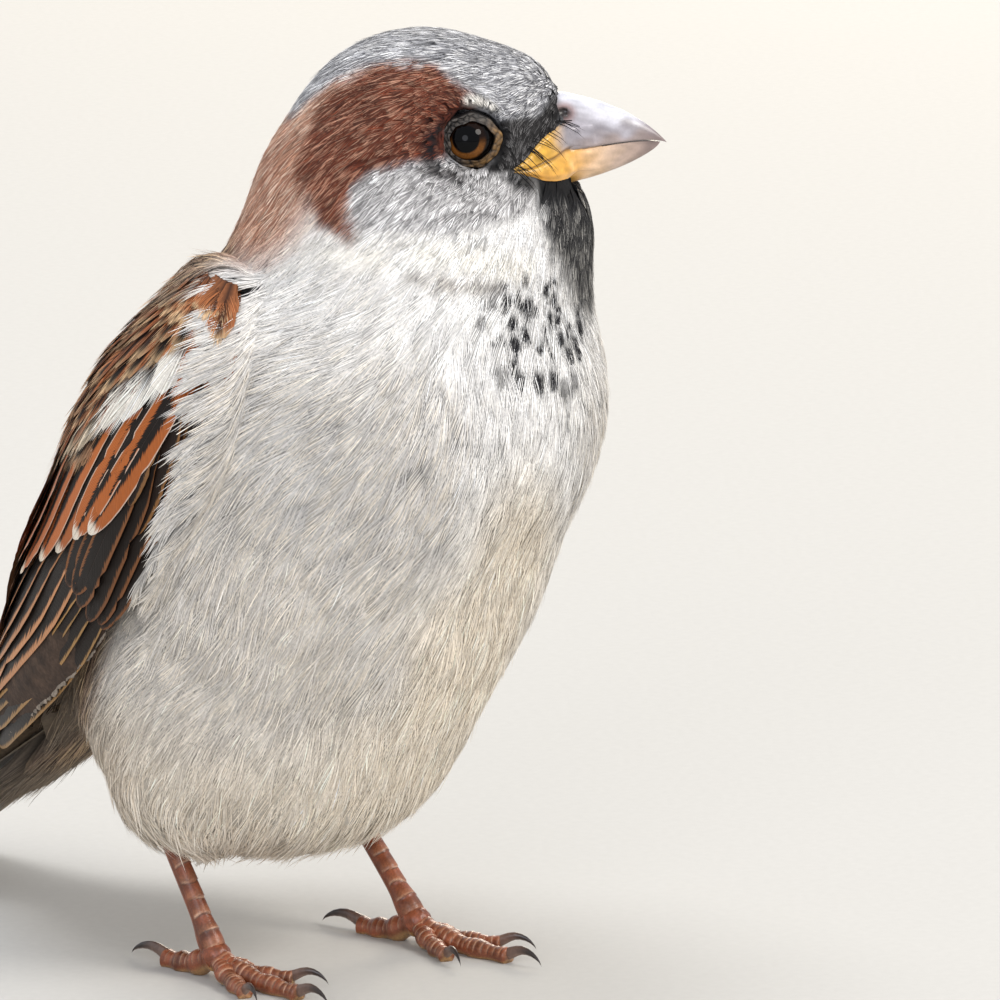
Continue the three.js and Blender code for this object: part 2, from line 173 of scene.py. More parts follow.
class Surface:
    """A closed skin that feathers are laid on."""

    def __init__(self, points, faces):
        self.points, self.faces = points, faces
        flat = np.cross(points[faces[:, 1]] - points[faces[:, 0]], points[faces[:, 2]] - points[faces[:, 0]])
        self.areas = np.linalg.norm(flat, axis=1) / 2
        corner = np.zeros_like(points)
        for k in range(3):
            np.add.at(corner, faces[:, k], flat)
        self.corner_normals = unit(corner)
        self.normals = unit(self.corner_normals[faces].sum(axis=1))
        self.tree = BVHTree.FromPolygons(points.tolist(), faces.tolist())

    def snap(self, points):
        """The nearest places on the skin, and its outward normals there."""
        found = [self.tree.find_nearest(p) for p in points.tolist()]
        places = np.array([f[0][:] for f in found])
        return places, self.normals[[f[2] for f in found]]

    def gap(self, places):
        """Distance in mm from each place to the surface."""
        return np.linalg.norm(self.snap(places)[0] - places, axis=1)

    def scatter(self, spacing, rng, keep):
        """Random places about `spacing` mm apart, where keep(points, normals) is true."""
        count = int(self.areas.sum() / spacing**2 * 5)
        face = rng.choice(len(self.areas), count, p=self.areas / self.areas.sum())
        a, b = rng.random((2, count, 1))
        flip = a + b > 1
        a, b = np.where(flip, 1 - a, a), np.where(flip, 1 - b, b)
        corners = self.points[self.faces[face]]
        points = corners[:, 0] * (1 - a - b) + corners[:, 1] * a + corners[:, 2] * b
        normals = self.normals[face]
        kept = keep(points, normals)
        points, normals = points[kept], normals[kept]
        cells = np.floor(points / spacing + rng.random(3)).astype(int)
        _, first = np.unique(cells, axis=0, return_index=True)
        return points[first], normals[first]


def shell_of(nodes, grow, voxel, rounds, more=0, below=0.0):
    """The outer skin of some nodes as one smooth closed mesh, in mm, smoothed more below a height."""
    bm = bmesh.new()
    for node in nodes:
        bm.from_mesh(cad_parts[node].data)
    bmesh.ops.remove_doubles(bm, verts=bm.verts, dist=1e-6)
    bm.normal_update()
    for v in bm.verts:
        v.co += v.normal * grow * MM
    rough = bpy.data.meshes.new("shell")
    bm.to_mesh(rough)
    bm.free()
    body = bpy.data.objects.new("shell", rough)
    bpy.context.scene.collection.objects.link(body)
    remesh = body.modifiers.new("One skin", "REMESH")
    remesh.mode = "VOXEL"
    remesh.voxel_size = voxel * MM
    whole = bpy.data.meshes.new_from_object(body.evaluated_get(bpy.context.evaluated_depsgraph_get()))
    bpy.data.objects.remove(body)
    bpy.data.meshes.remove(rough)
    bm = bmesh.new()
    bm.from_mesh(whole)
    every_way = {"factor": 0.5, "use_axis_x": True, "use_axis_y": True, "use_axis_z": True}
    for _ in range(rounds):
        bmesh.ops.smooth_vert(bm, verts=bm.verts, **every_way)
    low = [v for v in bm.verts if v.co.z < below * MM]
    for _ in range(more):
        bmesh.ops.smooth_vert(bm, verts=low, **every_way)
    bmesh.ops.triangulate(bm, faces=bm.faces)
    bm.to_mesh(whole)
    bm.free()
    shape = read_mesh(whole)
    bpy.data.meshes.remove(whole)
    return shape


def array_mesh(name, points, faces):
    """A mesh from points in mm and equal-sided faces, both as arrays."""
    mesh = bpy.data.meshes.new(name)
    sides = faces.shape[1]
    mesh.vertices.add(len(points))
    mesh.vertices.foreach_set("co", (points * MM).astype(np.float32).ravel())
    mesh.loops.add(faces.size)
    mesh.loops.foreach_set("vertex_index", faces.astype(np.int32).ravel())
    mesh.polygons.add(len(faces))
    mesh.polygons.foreach_set("loop_start", np.arange(0, faces.size, sides, dtype=np.int32))
    mesh.polygons.foreach_set("use_smooth", np.ones(len(faces), bool))
    mesh.update(calc_edges=True)
    return mesh


def paint(mesh, name, colours):
    """Keeps a linear colour for each point of a mesh."""
    layer = mesh.attributes.new(name, "FLOAT_COLOR", "POINT")
    full = np.ones((len(colours), 4), np.float32)
    full[:, :3] = colours
    layer.data.foreach_set("color", full.ravel())


def lay_map(mesh, name, places):
    """A UV map from one place for each point of a mesh."""
    layer = mesh.uv_layers.new(name=name, do_init=False)
    corner = np.empty(len(mesh.loops), np.int32)
    mesh.loops.foreach_get("vertex_index", corner)
    layer.data.foreach_set("uv", places[corner].astype(np.float32).ravel())


def add_piece(mesh, material, replaced=()):
    """Puts a finished mesh on the bird."""
    mesh.materials.append(material)
    piece = bpy.data.objects.new(mesh.name, mesh)
    bpy.context.scene.collection.objects.link(piece)
    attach(piece, "root")
    if replaced:
        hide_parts(*replaced)
    return piece


def formed(name, across, along, place, close=True):
    """A fine grid bent into shape: place(u, v) gives its points in mm for u and v from 0 to 1.
    Returns the mesh, the places of its points on the grid and the points in mm."""
    bm = bmesh.new()
    bmesh.ops.create_grid(bm, x_segments=across, y_segments=along, size=1)
    grid = np.array([v.co[:2] for v in bm.verts]) * 0.5 + 0.5
    points = place(grid[:, 0], grid[:, 1])
    mark = bm.verts.layers.float_vector.new("grid")
    for v, at, g in zip(bm.verts, points, grid):
        v.co = at * MM
        v[mark] = (g[0], g[1], 0)
    uv = bm.loops.layers.uv.new("Surface")
    for face in bm.faces:
        face.smooth = True
        for loop in face.loops:
            loop[uv].uv = loop.vert[mark][:2]
    if close:
        bmesh.ops.remove_doubles(bm, verts=bm.verts, dist=1e-6)
        bmesh.ops.recalc_face_normals(bm, faces=bm.faces)
    grid = np.array([v[mark][:2] for v in bm.verts])
    points = np.array([v.co[:] for v in bm.verts]) / MM
    mesh = bpy.data.meshes.new(name)
    bm.to_mesh(mesh)
    bm.free()
    return mesh, grid, points


# ---------- finishes ----------
MATH, RANGE, MIX = "ShaderNodeMath", "ShaderNodeMapRange", "ShaderNodeMix"
NOISE, PLACE, PAINT = "ShaderNodeTexNoise", "ShaderNodeTexCoord", "ShaderNodeAttribute"
# A range runs from its input 1 to 2 and gives 3 to 4; a mix has its share in 0, its colours in 6 and 7.
SOFT = {"interpolation_type": "SMOOTHSTEP"}
BLEND = {"data_type": "RGBA"}
PRODUCT = {"data_type": "RGBA", "blend_type": "MULTIPLY"}


def add_node(tree, kind, inputs=None, **settings):
    """Adds a node, with its settings, and its inputs as values or links.
    A node among the inputs stands for its first output."""
    node = tree.nodes.new(kind)
    for key, value in settings.items():
        setattr(node, key, value)
    for key, value in (inputs or {}).items():
        value = value.outputs[0] if isinstance(value, bpy.types.Node) else value
        if isinstance(value, bpy.types.NodeSocket):
            tree.links.new(value, node.inputs[key])
        else:
            node.inputs[key].default_value = value
    return node


def new_finish(name, **values):
    """A material with one surface shader, whose plain numbers are set on its own sockets."""
    material = bpy.data.materials.new(name)
    material.use_nodes = True
    tree = material.node_tree
    shader = tree.nodes["Principled BSDF"]
    for key, value in values.items():
        shader.inputs[key.replace("_", " ")].default_value = value
    return material, tree, shader


def tinted_finish(name, grain_size, contrast, bump=0.0, **values):
    """A finish whose colour is painted on the mesh, broken up by a grain of a real size in mm."""
    material, tree, shader = new_finish(name, **values)
    tint = add_node(tree, PAINT, attribute_name="Tint")
    at = add_node(tree, PLACE).outputs["Object"]
    fleck = add_node(tree, NOISE, {"Vector": at, "Scale": 1 / (grain_size * MM), "Detail": 2.0})
    level = add_node(tree, RANGE, {0: fleck, 1: 0.25, 2: 0.75, 3: 1 - contrast, 4: 1 + contrast}, **SOFT)
    grey = add_node(tree, "ShaderNodeCombineColor", {0: level, 1: level, 2: level})
    colour = add_node(tree, MIX, {0: 1.0, 6: tint, 7: grey}, **PRODUCT)
    tree.links.new(colour.outputs[2], shader.inputs["Base Color"])
    if bump:
        height = add_node(tree, "ShaderNodeBump", {"Height": fleck, "Strength": 0.6, "Distance": bump * MM})
        tree.links.new(height.outputs[0], shader.inputs["Normal"])
    return material


def finish(name):
    """Each finish is made once."""
    return bpy.data.materials.get(name) or FINISHES[name](name)


def down_finish(name):
    # Loose keratin barbs of body feathers: matt, with a faint velvet sheen at the edges.
    return tinted_finish(name, 0.35, 0.10, Roughness=0.8, Specular_IOR_Level=0.25, Sheen_Weight=0.04)


def skin_finish(name):
    # Feathered skin and down under the coat: soft and matt, seen only in the gaps.
    return tinted_finish(name, 0.5, 0.25, bump=0.15, Roughness=0.9, IOR=1.45)


def horn_finish(name):
    # Bill horn, grown in thin layers: satin, with fine growth lines and small scuffs.
    return tinted_finish(
        name, 0.3, 0.05, bump=0.03, Roughness=0.36, IOR=1.55, Coat_Weight=0.15, Coat_Roughness=0.3
    )


def claw_finish(name):
    # Claw horn: darker and glossier than the bill, worn at the point.
    return tinted_finish(name, 0.25, 0.12, bump=0.02, Roughness=0.3, IOR=1.55)


def leg_finish(name):
    # Scaled leg skin: dry, slightly waxy plates with fine wrinkles between them.
    return tinted_finish(name, 0.22, 0.2, bump=0.06, Roughness=0.36, IOR=1.5)


def lid_finish(name):
    # Bare skin of the eye ring: small dry beads.
    return tinted_finish(name, 0.2, 0.2, bump=0.04, Roughness=0.55, IOR=1.45)


def eye_finish(name):
    # A wet cornea over a dark iris: one clear gloss over deep colour.
    # The gloss is thinner than a real cornea's, so that the iris keeps its depth under soft lights.
    return tinted_finish(
        name, 0.25, 0.2, Roughness=0.5, Specular_IOR_Level=0.0,
        Coat_Weight=0.4, Coat_Roughness=0.015, Coat_IOR=1.376,
    )


def vane_finish(name):
    """Closed feather vanes. The colours come from the mesh, and the barbs are drawn across it."""
    # Hooked barbs lock into a smooth sheet: satin along the barbs, with fine ridges.
    material, tree, shader = new_finish(name, Roughness=0.45, Specular_IOR_Level=0.2, Sheen_Weight=0.02)
    place = add_node(tree, "ShaderNodeUVMap", uv_map="Vane")
    across, along, _ = add_node(tree, "ShaderNodeSeparateXYZ", {0: place}).outputs
    edge, heart, end, plans = (
        add_node(tree, PAINT, attribute_name=key) for key in ("Edge", "Centre", "Tip", "Plan")
    )
    half, end_share, taper = add_node(tree, "ShaderNodeSeparateColor", {0: plans}).outputs
    # How far off the shaft a place is, and the barb that it lies on.
    off = add_node(tree, MATH, {0: across, 1: 0.5}, operation="SUBTRACT")
    off = add_node(tree, MATH, {0: off}, operation="ABSOLUTE")
    away = add_node(tree, MATH, {0: off, 1: 2.0}, operation="MULTIPLY")
    lean = add_node(tree, MATH, {0: away, 1: 0.12}, operation="MULTIPLY")
    slant = add_node(tree, MATH, {0: along, 1: lean}, operation="SUBTRACT")
    barb = add_node(tree, MATH, {0: slant, 1: BARB_LINES}, operation="MULTIPLY")
    own = add_node(tree, NOISE, {"W": barb, "Scale": 0.9, "Detail": 3.0}, noise_dimensions="1D")
    ragged = add_node(tree, MATH, {0: own, 1: 0.5}, operation="SUBTRACT")
    ragged = add_node(tree, MATH, {0: ragged, 1: 0.42}, operation="MULTIPLY")
    # The dark centre narrows toward the tip and ends raggedly, barb by barb.
    narrower = add_node(tree, MATH, {0: along, 1: taper}, operation="MULTIPLY")
    narrower = add_node(tree, MATH, {0: 1.0, 1: narrower}, operation="SUBTRACT")
    reach = add_node(tree, MATH, {0: half, 1: narrower}, operation="MULTIPLY")
    inside = add_node(tree, MATH, {0: reach, 1: ragged}, operation="ADD")
    inside = add_node(tree, MATH, {0: inside, 1: away}, operation="SUBTRACT")
    centre = add_node(tree, RANGE, {0: inside, 1: -0.07, 2: 0.07}, **SOFT)
    # The pale end, and a pale rim beside a narrow centre.
    stagger = add_node(tree, MATH, {0: ragged, 1: 0.25}, operation="MULTIPLY")
    stagger = add_node(tree, MATH, {0: along, 1: stagger}, operation="ADD")
    limit = add_node(tree, MATH, {0: 1.0, 1: end_share}, operation="SUBTRACT")
    ahead = add_node(tree, MATH, {0: stagger, 1: limit}, operation="SUBTRACT")
    tip = add_node(tree, RANGE, {0: ahead, 1: -0.02, 2: 0.03}, **SOFT)
    colour = add_node(tree, MIX, {0: centre, 6: edge, 7: heart}, **BLEND).outputs[2]
    outside = add_node(tree, RANGE, {0: away, 1: 0.9, 2: 0.98}, **SOFT)
    slim = add_node(tree, RANGE, {0: half, 1: 0.78, 2: 0.7, 3: 0.0, 4: 0.6}, **SOFT)
    rim = add_node(tree, MATH, {0: outside, 1: slim}, operation="MULTIPLY")
    tip = add_node(tree, MATH, {0: tip, 1: rim}, operation="MAXIMUM")
    colour = add_node(tree, MIX, {0: tip, 6: colour, 7: end}, **BLEND).outputs[2]
    # Light and dark barbs, and the shaft.
    wave = add_node(tree, MATH, {0: barb, 1: math.tau}, operation="MULTIPLY")
    wave = add_node(tree, MATH, {0: wave}, operation="SINE")
    wave = add_node(tree, MATH, {0: wave, 1: 0.5}, operation="MULTIPLY")
    fine = add_node(tree, MATH, {0: wave, 1: own}, operation="ADD")
    level = add_node(tree, RANGE, {0: fine, 1: -0.3, 2: 1.4, 3: 0.72, 4: 1.22}, **SOFT)
    grey = add_node(tree, "ShaderNodeCombineColor", {0: level, 1: level, 2: level})
    colour = add_node(tree, MIX, {0: 1.0, 6: colour, 7: grey}, **PRODUCT).outputs[2]
    shaft = add_node(tree, RANGE, {0: away, 1: 0.035, 2: 0.012}, **SOFT)
    share = add_node(tree, MATH, {0: shaft, 1: 0.6}, operation="MULTIPLY")
    colour = add_node(tree, MIX, {0: share, 6: colour, 7: (*linear("#2a1d16"), 1)}, **BLEND)
    tree.links.new(colour.outputs[2], shader.inputs["Base Color"])
    ridge = add_node(tree, MATH, {0: shaft, 1: 1.5}, operation="MULTIPLY")
    height = add_node(tree, MATH, {0: fine, 1: ridge}, operation="ADD")
    bump = add_node(tree, "ShaderNodeBump", {"Height": height, "Strength": 0.5, "Distance": 0.04 * MM})
    tree.links.new(bump.outputs[0], shader.inputs["Normal"])
    return material


def floor_finish(name):
    # Seamless paper sweep: flat, matt and pale.
    material, tree, shader = new_finish(name, Roughness=0.9, IOR=1.45)
    at = add_node(tree, PLACE).outputs["Object"]
    fleck = add_node(tree, NOISE, {"Vector": at, "Scale": 1 / (PAPER_GRAIN * MM), "Detail": 4.0})
    greys = [(*linear(code), 1) for code in ("#bab8b4", "#c2c0bc")]
    warm = add_node(tree, MIX, {0: fleck, 6: greys[0], 7: greys[1]}, **BLEND)
    tree.links.new(warm.outputs[2], shader.inputs["Base Color"])
    return material


PAPER_GRAIN = 1.2  # in mm
BARB_LINES = 70.0  # barbs drawn along a vane, coarser than the real ones so that they show
FINISHES = {
    "Down barbs": down_finish,
    "Skin under down": skin_finish,
    "Bill horn": horn_finish,
    "Claw horn": claw_finish,
    "Leg scales": leg_finish,
    "Eye ring skin": lid_finish,
    "Wet eye": eye_finish,
    "Closed vanes": vane_finish,
    "Paper sweep": floor_finish,
}


# ---------- the values a user would change ----------
def length_value(title, note, size, least, most):
    """A length in metres, from its usual, least and most values in mm."""
    return FloatProperty(
        name=title, description=note, unit="LENGTH", precision=5,
        default=size * MM, min=least * MM, max=most * MM,
    )


def colour_value(title, note, code):
    """A colour, from its usual hex value."""
    return FloatVectorProperty(
        name=title, description=note, subtype="COLOR", size=3, min=0, max=1, default=tuple(linear(code))
    )


class SparrowColours(bpy.types.PropertyGroup):
    crown: colour_value("Crown", "Grey of the crown", "#a6a6aa")
    chestnut: colour_value("Chestnut", "Red-brown band from the eye round the nape", "#6a2a13")
    chestnut_tip: colour_value("Chestnut tips", "Pale ends of the chestnut feathers", "#c9a086")
    nape: colour_value("Nape", "Rufous-buff edge of the nape", "#c08c70")
    black: colour_value("Black", "Lores and bib", "#131317")
    cheek: colour_value("Cheek", "Pale grey of the cheek", "#c0bdbc")
    collar: colour_value("Collar", "Cream-white crescents under the cheek", "#f6f1e8")
    breast: colour_value("Breast", "Grey-white of the breast", "#eceae8")
    belly: colour_value("Belly", "Cream of the belly", "#ecdfcb")
    flank: colour_value("Flank", "Grey of the flanks", "#d3cfca")
    vent: colour_value("Vent", "Buff-brown under the tail", "#a8937a")
    rump: colour_value("Rump", "Grey-brown of the rump", "#8d8072")
    rufous: colour_value("Rufous", "Wing coverts and back", "#b0602c")
    buff: colour_value("Buff", "Pale edges of the wing feathers", "#d9bd93")
    dusk: colour_value("Dusky", "Dark centres of the wing feathers", "#1d1815")
    bar: colour_value("Wing bar", "White tips of the median coverts", "#f2ece2")


class SparrowSizes(bpy.types.PropertyGroup):
    head_coat: length_value("Head coat", "How deep the feathers lie over the skin of the head", 1.1, 0.3, 3)
    body_coat: length_value("Body coat", "How deep the feathers lie over the skin of the body", 2.5, 0.5, 6)
    pupil: length_value("Pupil", "Width of the pupil", 3.0, 1, 4.5)
    fullness: FloatProperty(
        name="Fullness", description="Barbs on each body feather, against the usual number", default=1.0,
        min=0.2, max=1.5,
    )
    scutes: IntProperty(
        name="Scutes", description="Plates down the front of each bare leg", default=10, min=5, max=14
    )


def colours():
    """The scene's colours by name, as arrays."""
    group = bpy.context.scene.sparrow_colours
    names = SparrowColours.__annotations__
    return SimpleNamespace(**{name: np.array(getattr(group, name)) for name in names})


def sizes():
    """The scene's sizes by name."""
    return bpy.context.scene.sparrow_sizes


# ---------- markings ----------
def look(colour, streak=(0, 0, 0), streak_share=0.0, tip=(0, 0, 0), tip_share=0.0):
    """One row: colour in columns 0 to 2, streak colour in 3 to 5 and its share in 6,
    tip colour in 7 to 9 and its share in 10."""
    return np.array((*colour, *streak, streak_share, *tip, tip_share))


def brushed(q, path, soft):
    """1 inside a stroke along places [forward, sideways, up, radius], fading over its soft edge."""
    path = np.array(path, float)
    far = np.full(len(q), 1e9)
    for a, b in zip(path[:-1], path[1:]):
        line = b[:3] - a[:3]
        t = np.clip((q - a[:3]) @ line / max(line @ line, 1e-9), 0, 1)
        gap = np.linalg.norm(q - a[:3] - t[:, None] * line, axis=1)
        far = np.minimum(far, gap - blend(a[3], b[3], t))
    return smooth(soft, -soft, far)


def head_strokes():
    """Markings of the head, painted one over another: path, softness and look."""
    c = colours()
    dark, pale = linear("#45444a"), linear("#efedec")
    crown = look(c.crown, dark, 0.6, pale, 0.6)
    collar = look(c.collar, c.flank, 0.15)
    chestnut = look(c.chestnut, linear("#350e05"), 0.5, c.chestnut_tip, 0.35)
    speck = look(linear("#161314"), tip=c.cheek, tip_share=0.15)
    return (
        (((9, 3, 1, 8), (-6, 4, 0, 10)), 2.0, crown),
        (((-13, 4, 0, 8), (-17, 4, -9, 8)), 3.0, look(c.nape, c.chestnut, 0.4, linear("#dfc3ae"), 0.7)),
        (((-13.6, 13.8, -12.2, 0.3), (-11.4, 15.1, -12.6, 1.0), (-9, 16, -12.8, 1.6),
          (-6, 16.9, -12.9, 1.5)), 1.5, collar),
        (((-1, 16.4, -12.4, 1.2), (5.8, 15.4, -13.4, 1.6), (11, 13, -14.6, 1.6)), 0.9, collar),
        # Painted shadow under the collar's lower edge, over a dusky brown-grey band with dark streaks.
        (((-2, 18, -14.8, 0.6), (3.5, 17.5, -15.8, 0.8), (8, 15.6, -16.4, 0.6)), 0.9,
         look(linear("#8f857c"), dark, 0.5, c.collar, 0.6)),
        (((9.5, 9.4, -6.2, 3.2), (2, 12.5, -7, 4.3), (-5, 13, -7.5, 3.9), (-8.6, 12.8, -8, 2.4)), 0.9,
         look(c.cheek, linear("#5a5758"), 0.5, pale, 0.5)),
        (((-9.9, 12, -7, 0.6), (-9.6, 13, -8.6, 0.5)), 0.5, collar),
        (((3.2, 8.7, 3.0, 2.3), (-1, 8.2, 4.4, 3.9), (-5, 7.6, 4.0, 4.2), (-9, 7.4, 1.2, 4.2),
          (-12, 9, -3.8, 3.4), (-11, 12.6, -8.6, 1.9), (-9, 14.6, -10.6, 0.7)), 0.9, chestnut),
        (((3.2, 8.7, 3.0, 1.9), (0, 9.4, 2.4, 2.4), (-1.5, 10.4, 0.4, 1.4)), 0.8,
         look(c.chestnut, linear("#350e05"), 0.6, c.chestnut_tip, 0.25)),
        (((1.2, 10.6, -0.4, 1.9), (-3, 10.6, -0.2, 2.7), (-7.5, 10.8, -1.6, 2.6),
          (-10.5, 11.8, -5.2, 1.8)), 0.7, chestnut),
        (((13, 1.5, 4.5, 3.4), (5, 2.2, 8.5, 5.2), (-4, 1.5, 9.5, 4.7), (-10, 1.2, 7, 3.9),
          (-14, 1, 2, 2.4)), 0.9, crown),
        (((12, 4.5, 3.4, 2.4), (8.5, 5.5, 5.2, 3.0), (5.4, 5.8, 6.6, 2.0)), 0.7, crown),
        (((7.4, 8.2, 2.8, 0.5), (5.6, 8.3, 3.6, 0.8), (4.6, 8.4, 3.9, 0.7)), 0.6, look(c.bar, dark, 0.2)),
        (((15, 0, 3, 1.2), (14.4, 3.2, 2.2, 1.2), (13.6, 5.2, 0.8, 1.6)), 0.6, speck),
        (((13.6, 5.8, -0.4, 2.0), (10, 8, -0.6, 2.5), (7.6, 9.2, -0.8, 2.3)), 0.6, speck),
        (((10.4, 8.8, -3.2, 1.2), (7.4, 9.8, -3.4, 0.9)), 0.5, speck),
        (((6.6, 9.2, 2.0, 0.6), (3, 10, 2.6, 0.5), (0.2, 10.8, 0, 0.9), (0.2, 11, -2.2, 0.9)), 0.6,
         look(c.black, tip=c.chestnut, tip_share=0.5)),
        (((3.5, 11.2, -4.4, 0.7), (-0.4, 11.5, -3.4, 0.8)), 0.8,
         look(linear("#55504f"), c.black, 0.5, c.cheek, 0.5)),
        (((5.4, 10.8, -3.8, 0.2), (3.4, 11.3, -4.1, 0.25)), 0.25, look(c.cheek)),
        (((11.4, 8.4, -5.6, 0.9), (9.6, 9.3, -4.9, 0.9)), 0.5, look(c.black, tip=c.cheek, tip_share=0.2)),
        (((15.5, 1.5, -6.5, 6.6), (15, 3.6, -10, 6.2)), 0.8, look(c.black, tip=c.cheek, tip_share=0.07)),
        (((15.6, 3.4, -13, 6.2), (16.2, 3, -17.5, 5.0)), 2.0,
         look(linear("#1c1c20"), c.black, 0.8, c.collar, 0.28)),
    )


def body_look(p):
    """Looks of the neck, body and thighs by place on the body."""
    c = colours()
    behind = behind_spine(p)
    aside = np.abs(p[:, 0] - 0.5)
    drift = ripple(p, 16, 3)
    grey = smooth(5, 17, aside + 3 * drift) * smooth(20, 36, p[:, 2]) * (1 - 0.55 * smooth(72, 84, p[:, 2]))
    cream = smooth(68, 36, p[:, 2] + 7 * drift)
    low = smooth(36, 12, p[:, 2] - 0.5 * behind + 4 * drift)
    base = np.repeat(look(c.breast, c.flank, 0.1, c.collar, 0.3)[None], len(p), axis=0)
    base = blend(base, look(c.belly, c.flank, 0.1, c.collar, 0.3), cream[:, None])
    base = blend(base, look(c.flank, linear("#8f8a86"), 0.2, c.belly, 0.5), 0.8 * grey[:, None])
    base = blend(base, look(c.vent, linear("#6b5a49"), 0.4, c.belly, 0.5), low[:, None])
    back = smooth(6, 11, behind + 1.5 * drift)
    mantle = look(blend(c.rump, c.nape, 0.35), c.dusk, 0.7, c.buff, 0.4)
    base = blend(base, mantle, back[:, None])
    rump = smooth(10, 16, behind) * smooth(62, 52, p[:, 2])
    return blend(base, look(c.rump, linear("#5d5247"), 0.4, c.vent, 0.4), rump[:, None])


def markings(points):
    """Looks at places in mm, the same on both sides of the bird."""
    rows = body_look(points)
    near = np.linalg.norm(points - HEAD, axis=1) < 34
    q = to_half_head(points[near])
    head = rows[near]
    for path, soft, row in head_strokes():
        head = blend(head, row, brushed(q, path, soft)[:, None])
    rows[near] = head
    return rows


def breast_spots(places, rng):
    """How far each feather carries a dark spot: a scatter below the bib that thins out downward."""
    q = to_half_head(places)
    zone = smooth(1.15, 0.85, np.linalg.norm((q - (11.5, 11, -21.5)) / (8, 10, 7), axis=1))
    return zone * (rng.random(len(places)) < 0.5) * smooth(-13, -15, q[:, 2])


# ---------- how the coat lies ----------
BILL_BASE = in_head(14, 0, 4)
TAILWARD = unit(np.array((0, 0.55, -0.83)))
FEET = {"right": np.array((-14.0, -14.6, 2.7)), "left": np.array((14.0, -19.1, 2.7))}
LEG_LEAN = {"right": math.radians(32), "left": math.radians(43)}
LEG_TOP_REACH = 19.5
LEG_LINES = {
    side: np.array((0, math.sin(LEG_LEAN[side]), math.cos(LEG_LEAN[side]))) for side in SIDES
}
LEG_TOPS = {side: FEET[side] + LEG_TOP_REACH * LEG_LINES[side] for side in SIDES}


def coat_flow(places, normals):
    """The way feathers lie: back from the bill, then down and back over the body and legs."""
    off = places - BILL_BASE
    far = smooth(16, 34, np.linalg.norm(off, axis=1))[:, None]
    way = unit(off) * (1 - far) + TAILWARD * far
    height = places[:, 2]
    aside = np.clip(places[:, 0] / 20, -1.4, 1.4) * smooth(95, 80, height) * smooth(30, 60, height)
    back = blend(0.22, 0.45, smooth(60, 80, height))
    way = way + np.stack((0.15 * aside, back * np.abs(aside), 0 * aside), axis=1)
    way = way + 0.16 * np.stack([ripple(places, 22, seed) for seed in (81, 82, 83)], axis=1) * far
    for name in SIDES:
        leg = np.linalg.norm(places - LEG_TOPS[name] + 2 * LEG_LINES[name], axis=1)
        near = smooth(8.5, 4.5, leg)[:, None]
        way = way * (1 - near) - LEG_LINES[name] * near
    for eye in (EYE_RIGHT, EYE_LEFT):
        away = places - eye
        reach = np.linalg.norm(away, axis=1)
        near = smooth(7.5, 4.2, reach)[:, None]
        way = way + 1.3 * unit(away) * near
    way = way - normals * (way * normals).sum(axis=1, keepdims=True)
    return unit(way)


def leg_gap(places, below=3.0):
    """Distance in mm from the nearer leg's top."""
    gaps = [np.linalg.norm(places - LEG_TOPS[n] + below * LEG_LINES[n], axis=1) for n in SIDES]
    return np.min(gaps, axis=0)


def eye_gap(places):
    """Distance in mm from the nearer eye's middle."""
    return np.minimum(np.linalg.norm(places - EYE_RIGHT, axis=1), np.linalg.norm(places - EYE_LEFT, axis=1))


def coat_depth(places):
    """From the skin out to the feather tips, in mm: shallow on the face, deep on the body."""
    size = sizes()
    head = smooth(17, 32, np.linalg.norm(places - HEAD, axis=1))
    depth = blend(size.head_coat / MM, size.body_coat / MM, head)
    bill = smooth(1.5, 9, np.linalg.norm((to_head(places) - (13.5, 0, 1)) / (1, 1.6, 1.5), axis=1) - 2)
    depth = depth * blend(0.35, 1.0, bill) * blend(0.45, 1.0, smooth(3.8, 8, eye_gap(places)))
    return depth * (1 - 0.6 * smooth(8, 4, leg_gap(places)))


def turned(ways, normals, angles):
    """Directions turned about the skin's normals."""
    side = np.cross(normals, ways)
    return ways * np.cos(angles)[:, None] + side * np.sin(angles)[:, None]


def lay_shafts(surface, roots, lengths, lift, drift, stations):
    """Shafts that follow the lie of the coat: points, sides and normals, station by station.
    lift(share) is each station's height over the skin."""
    at, normal = surface.snap(roots)
    step = (lengths / (stations - 1))[:, None]
    rows = []
    for k in range(stations):
        way = turned(coat_flow(at, normal), normal, drift * (1 - 0.4 * k / (stations - 1)))
        rows.append((at + normal * lift(k / (stations - 1))[:, None], np.cross(normal, way), normal))
        if k + 1 < stations:
            at, normal = surface.snap(at + way * step)
    points, sides, normals = (np.stack([row[k] for row in rows]) for k in range(3))
    points[1:-1] = (points[:-2] + 2 * points[1:-1] + points[2:]) / 4
    for rows in (sides, normals):
        rows[1:-1] = unit(rows[:-2] + 2 * rows[1:-1] + rows[2:])
    return points, sides, normals


def along_shaft(rows, share):
    """Values of shaft rows [stations, feathers, 3] at shares [feathers, ...] of the length."""
    last = len(rows) - 1
    x = np.clip(share, 0, 1.25) * last
    i = np.clip(x.astype(int), 0, last - 1)
    feather = np.arange(rows.shape[1]).reshape((-1,) + (1,) * (share.ndim - 1))
    feather = np.broadcast_to(feather, share.shape)
    w = (x - i)[..., None]
    return rows[i, feather] * (1 - w) + rows[i + 1, feather] * w


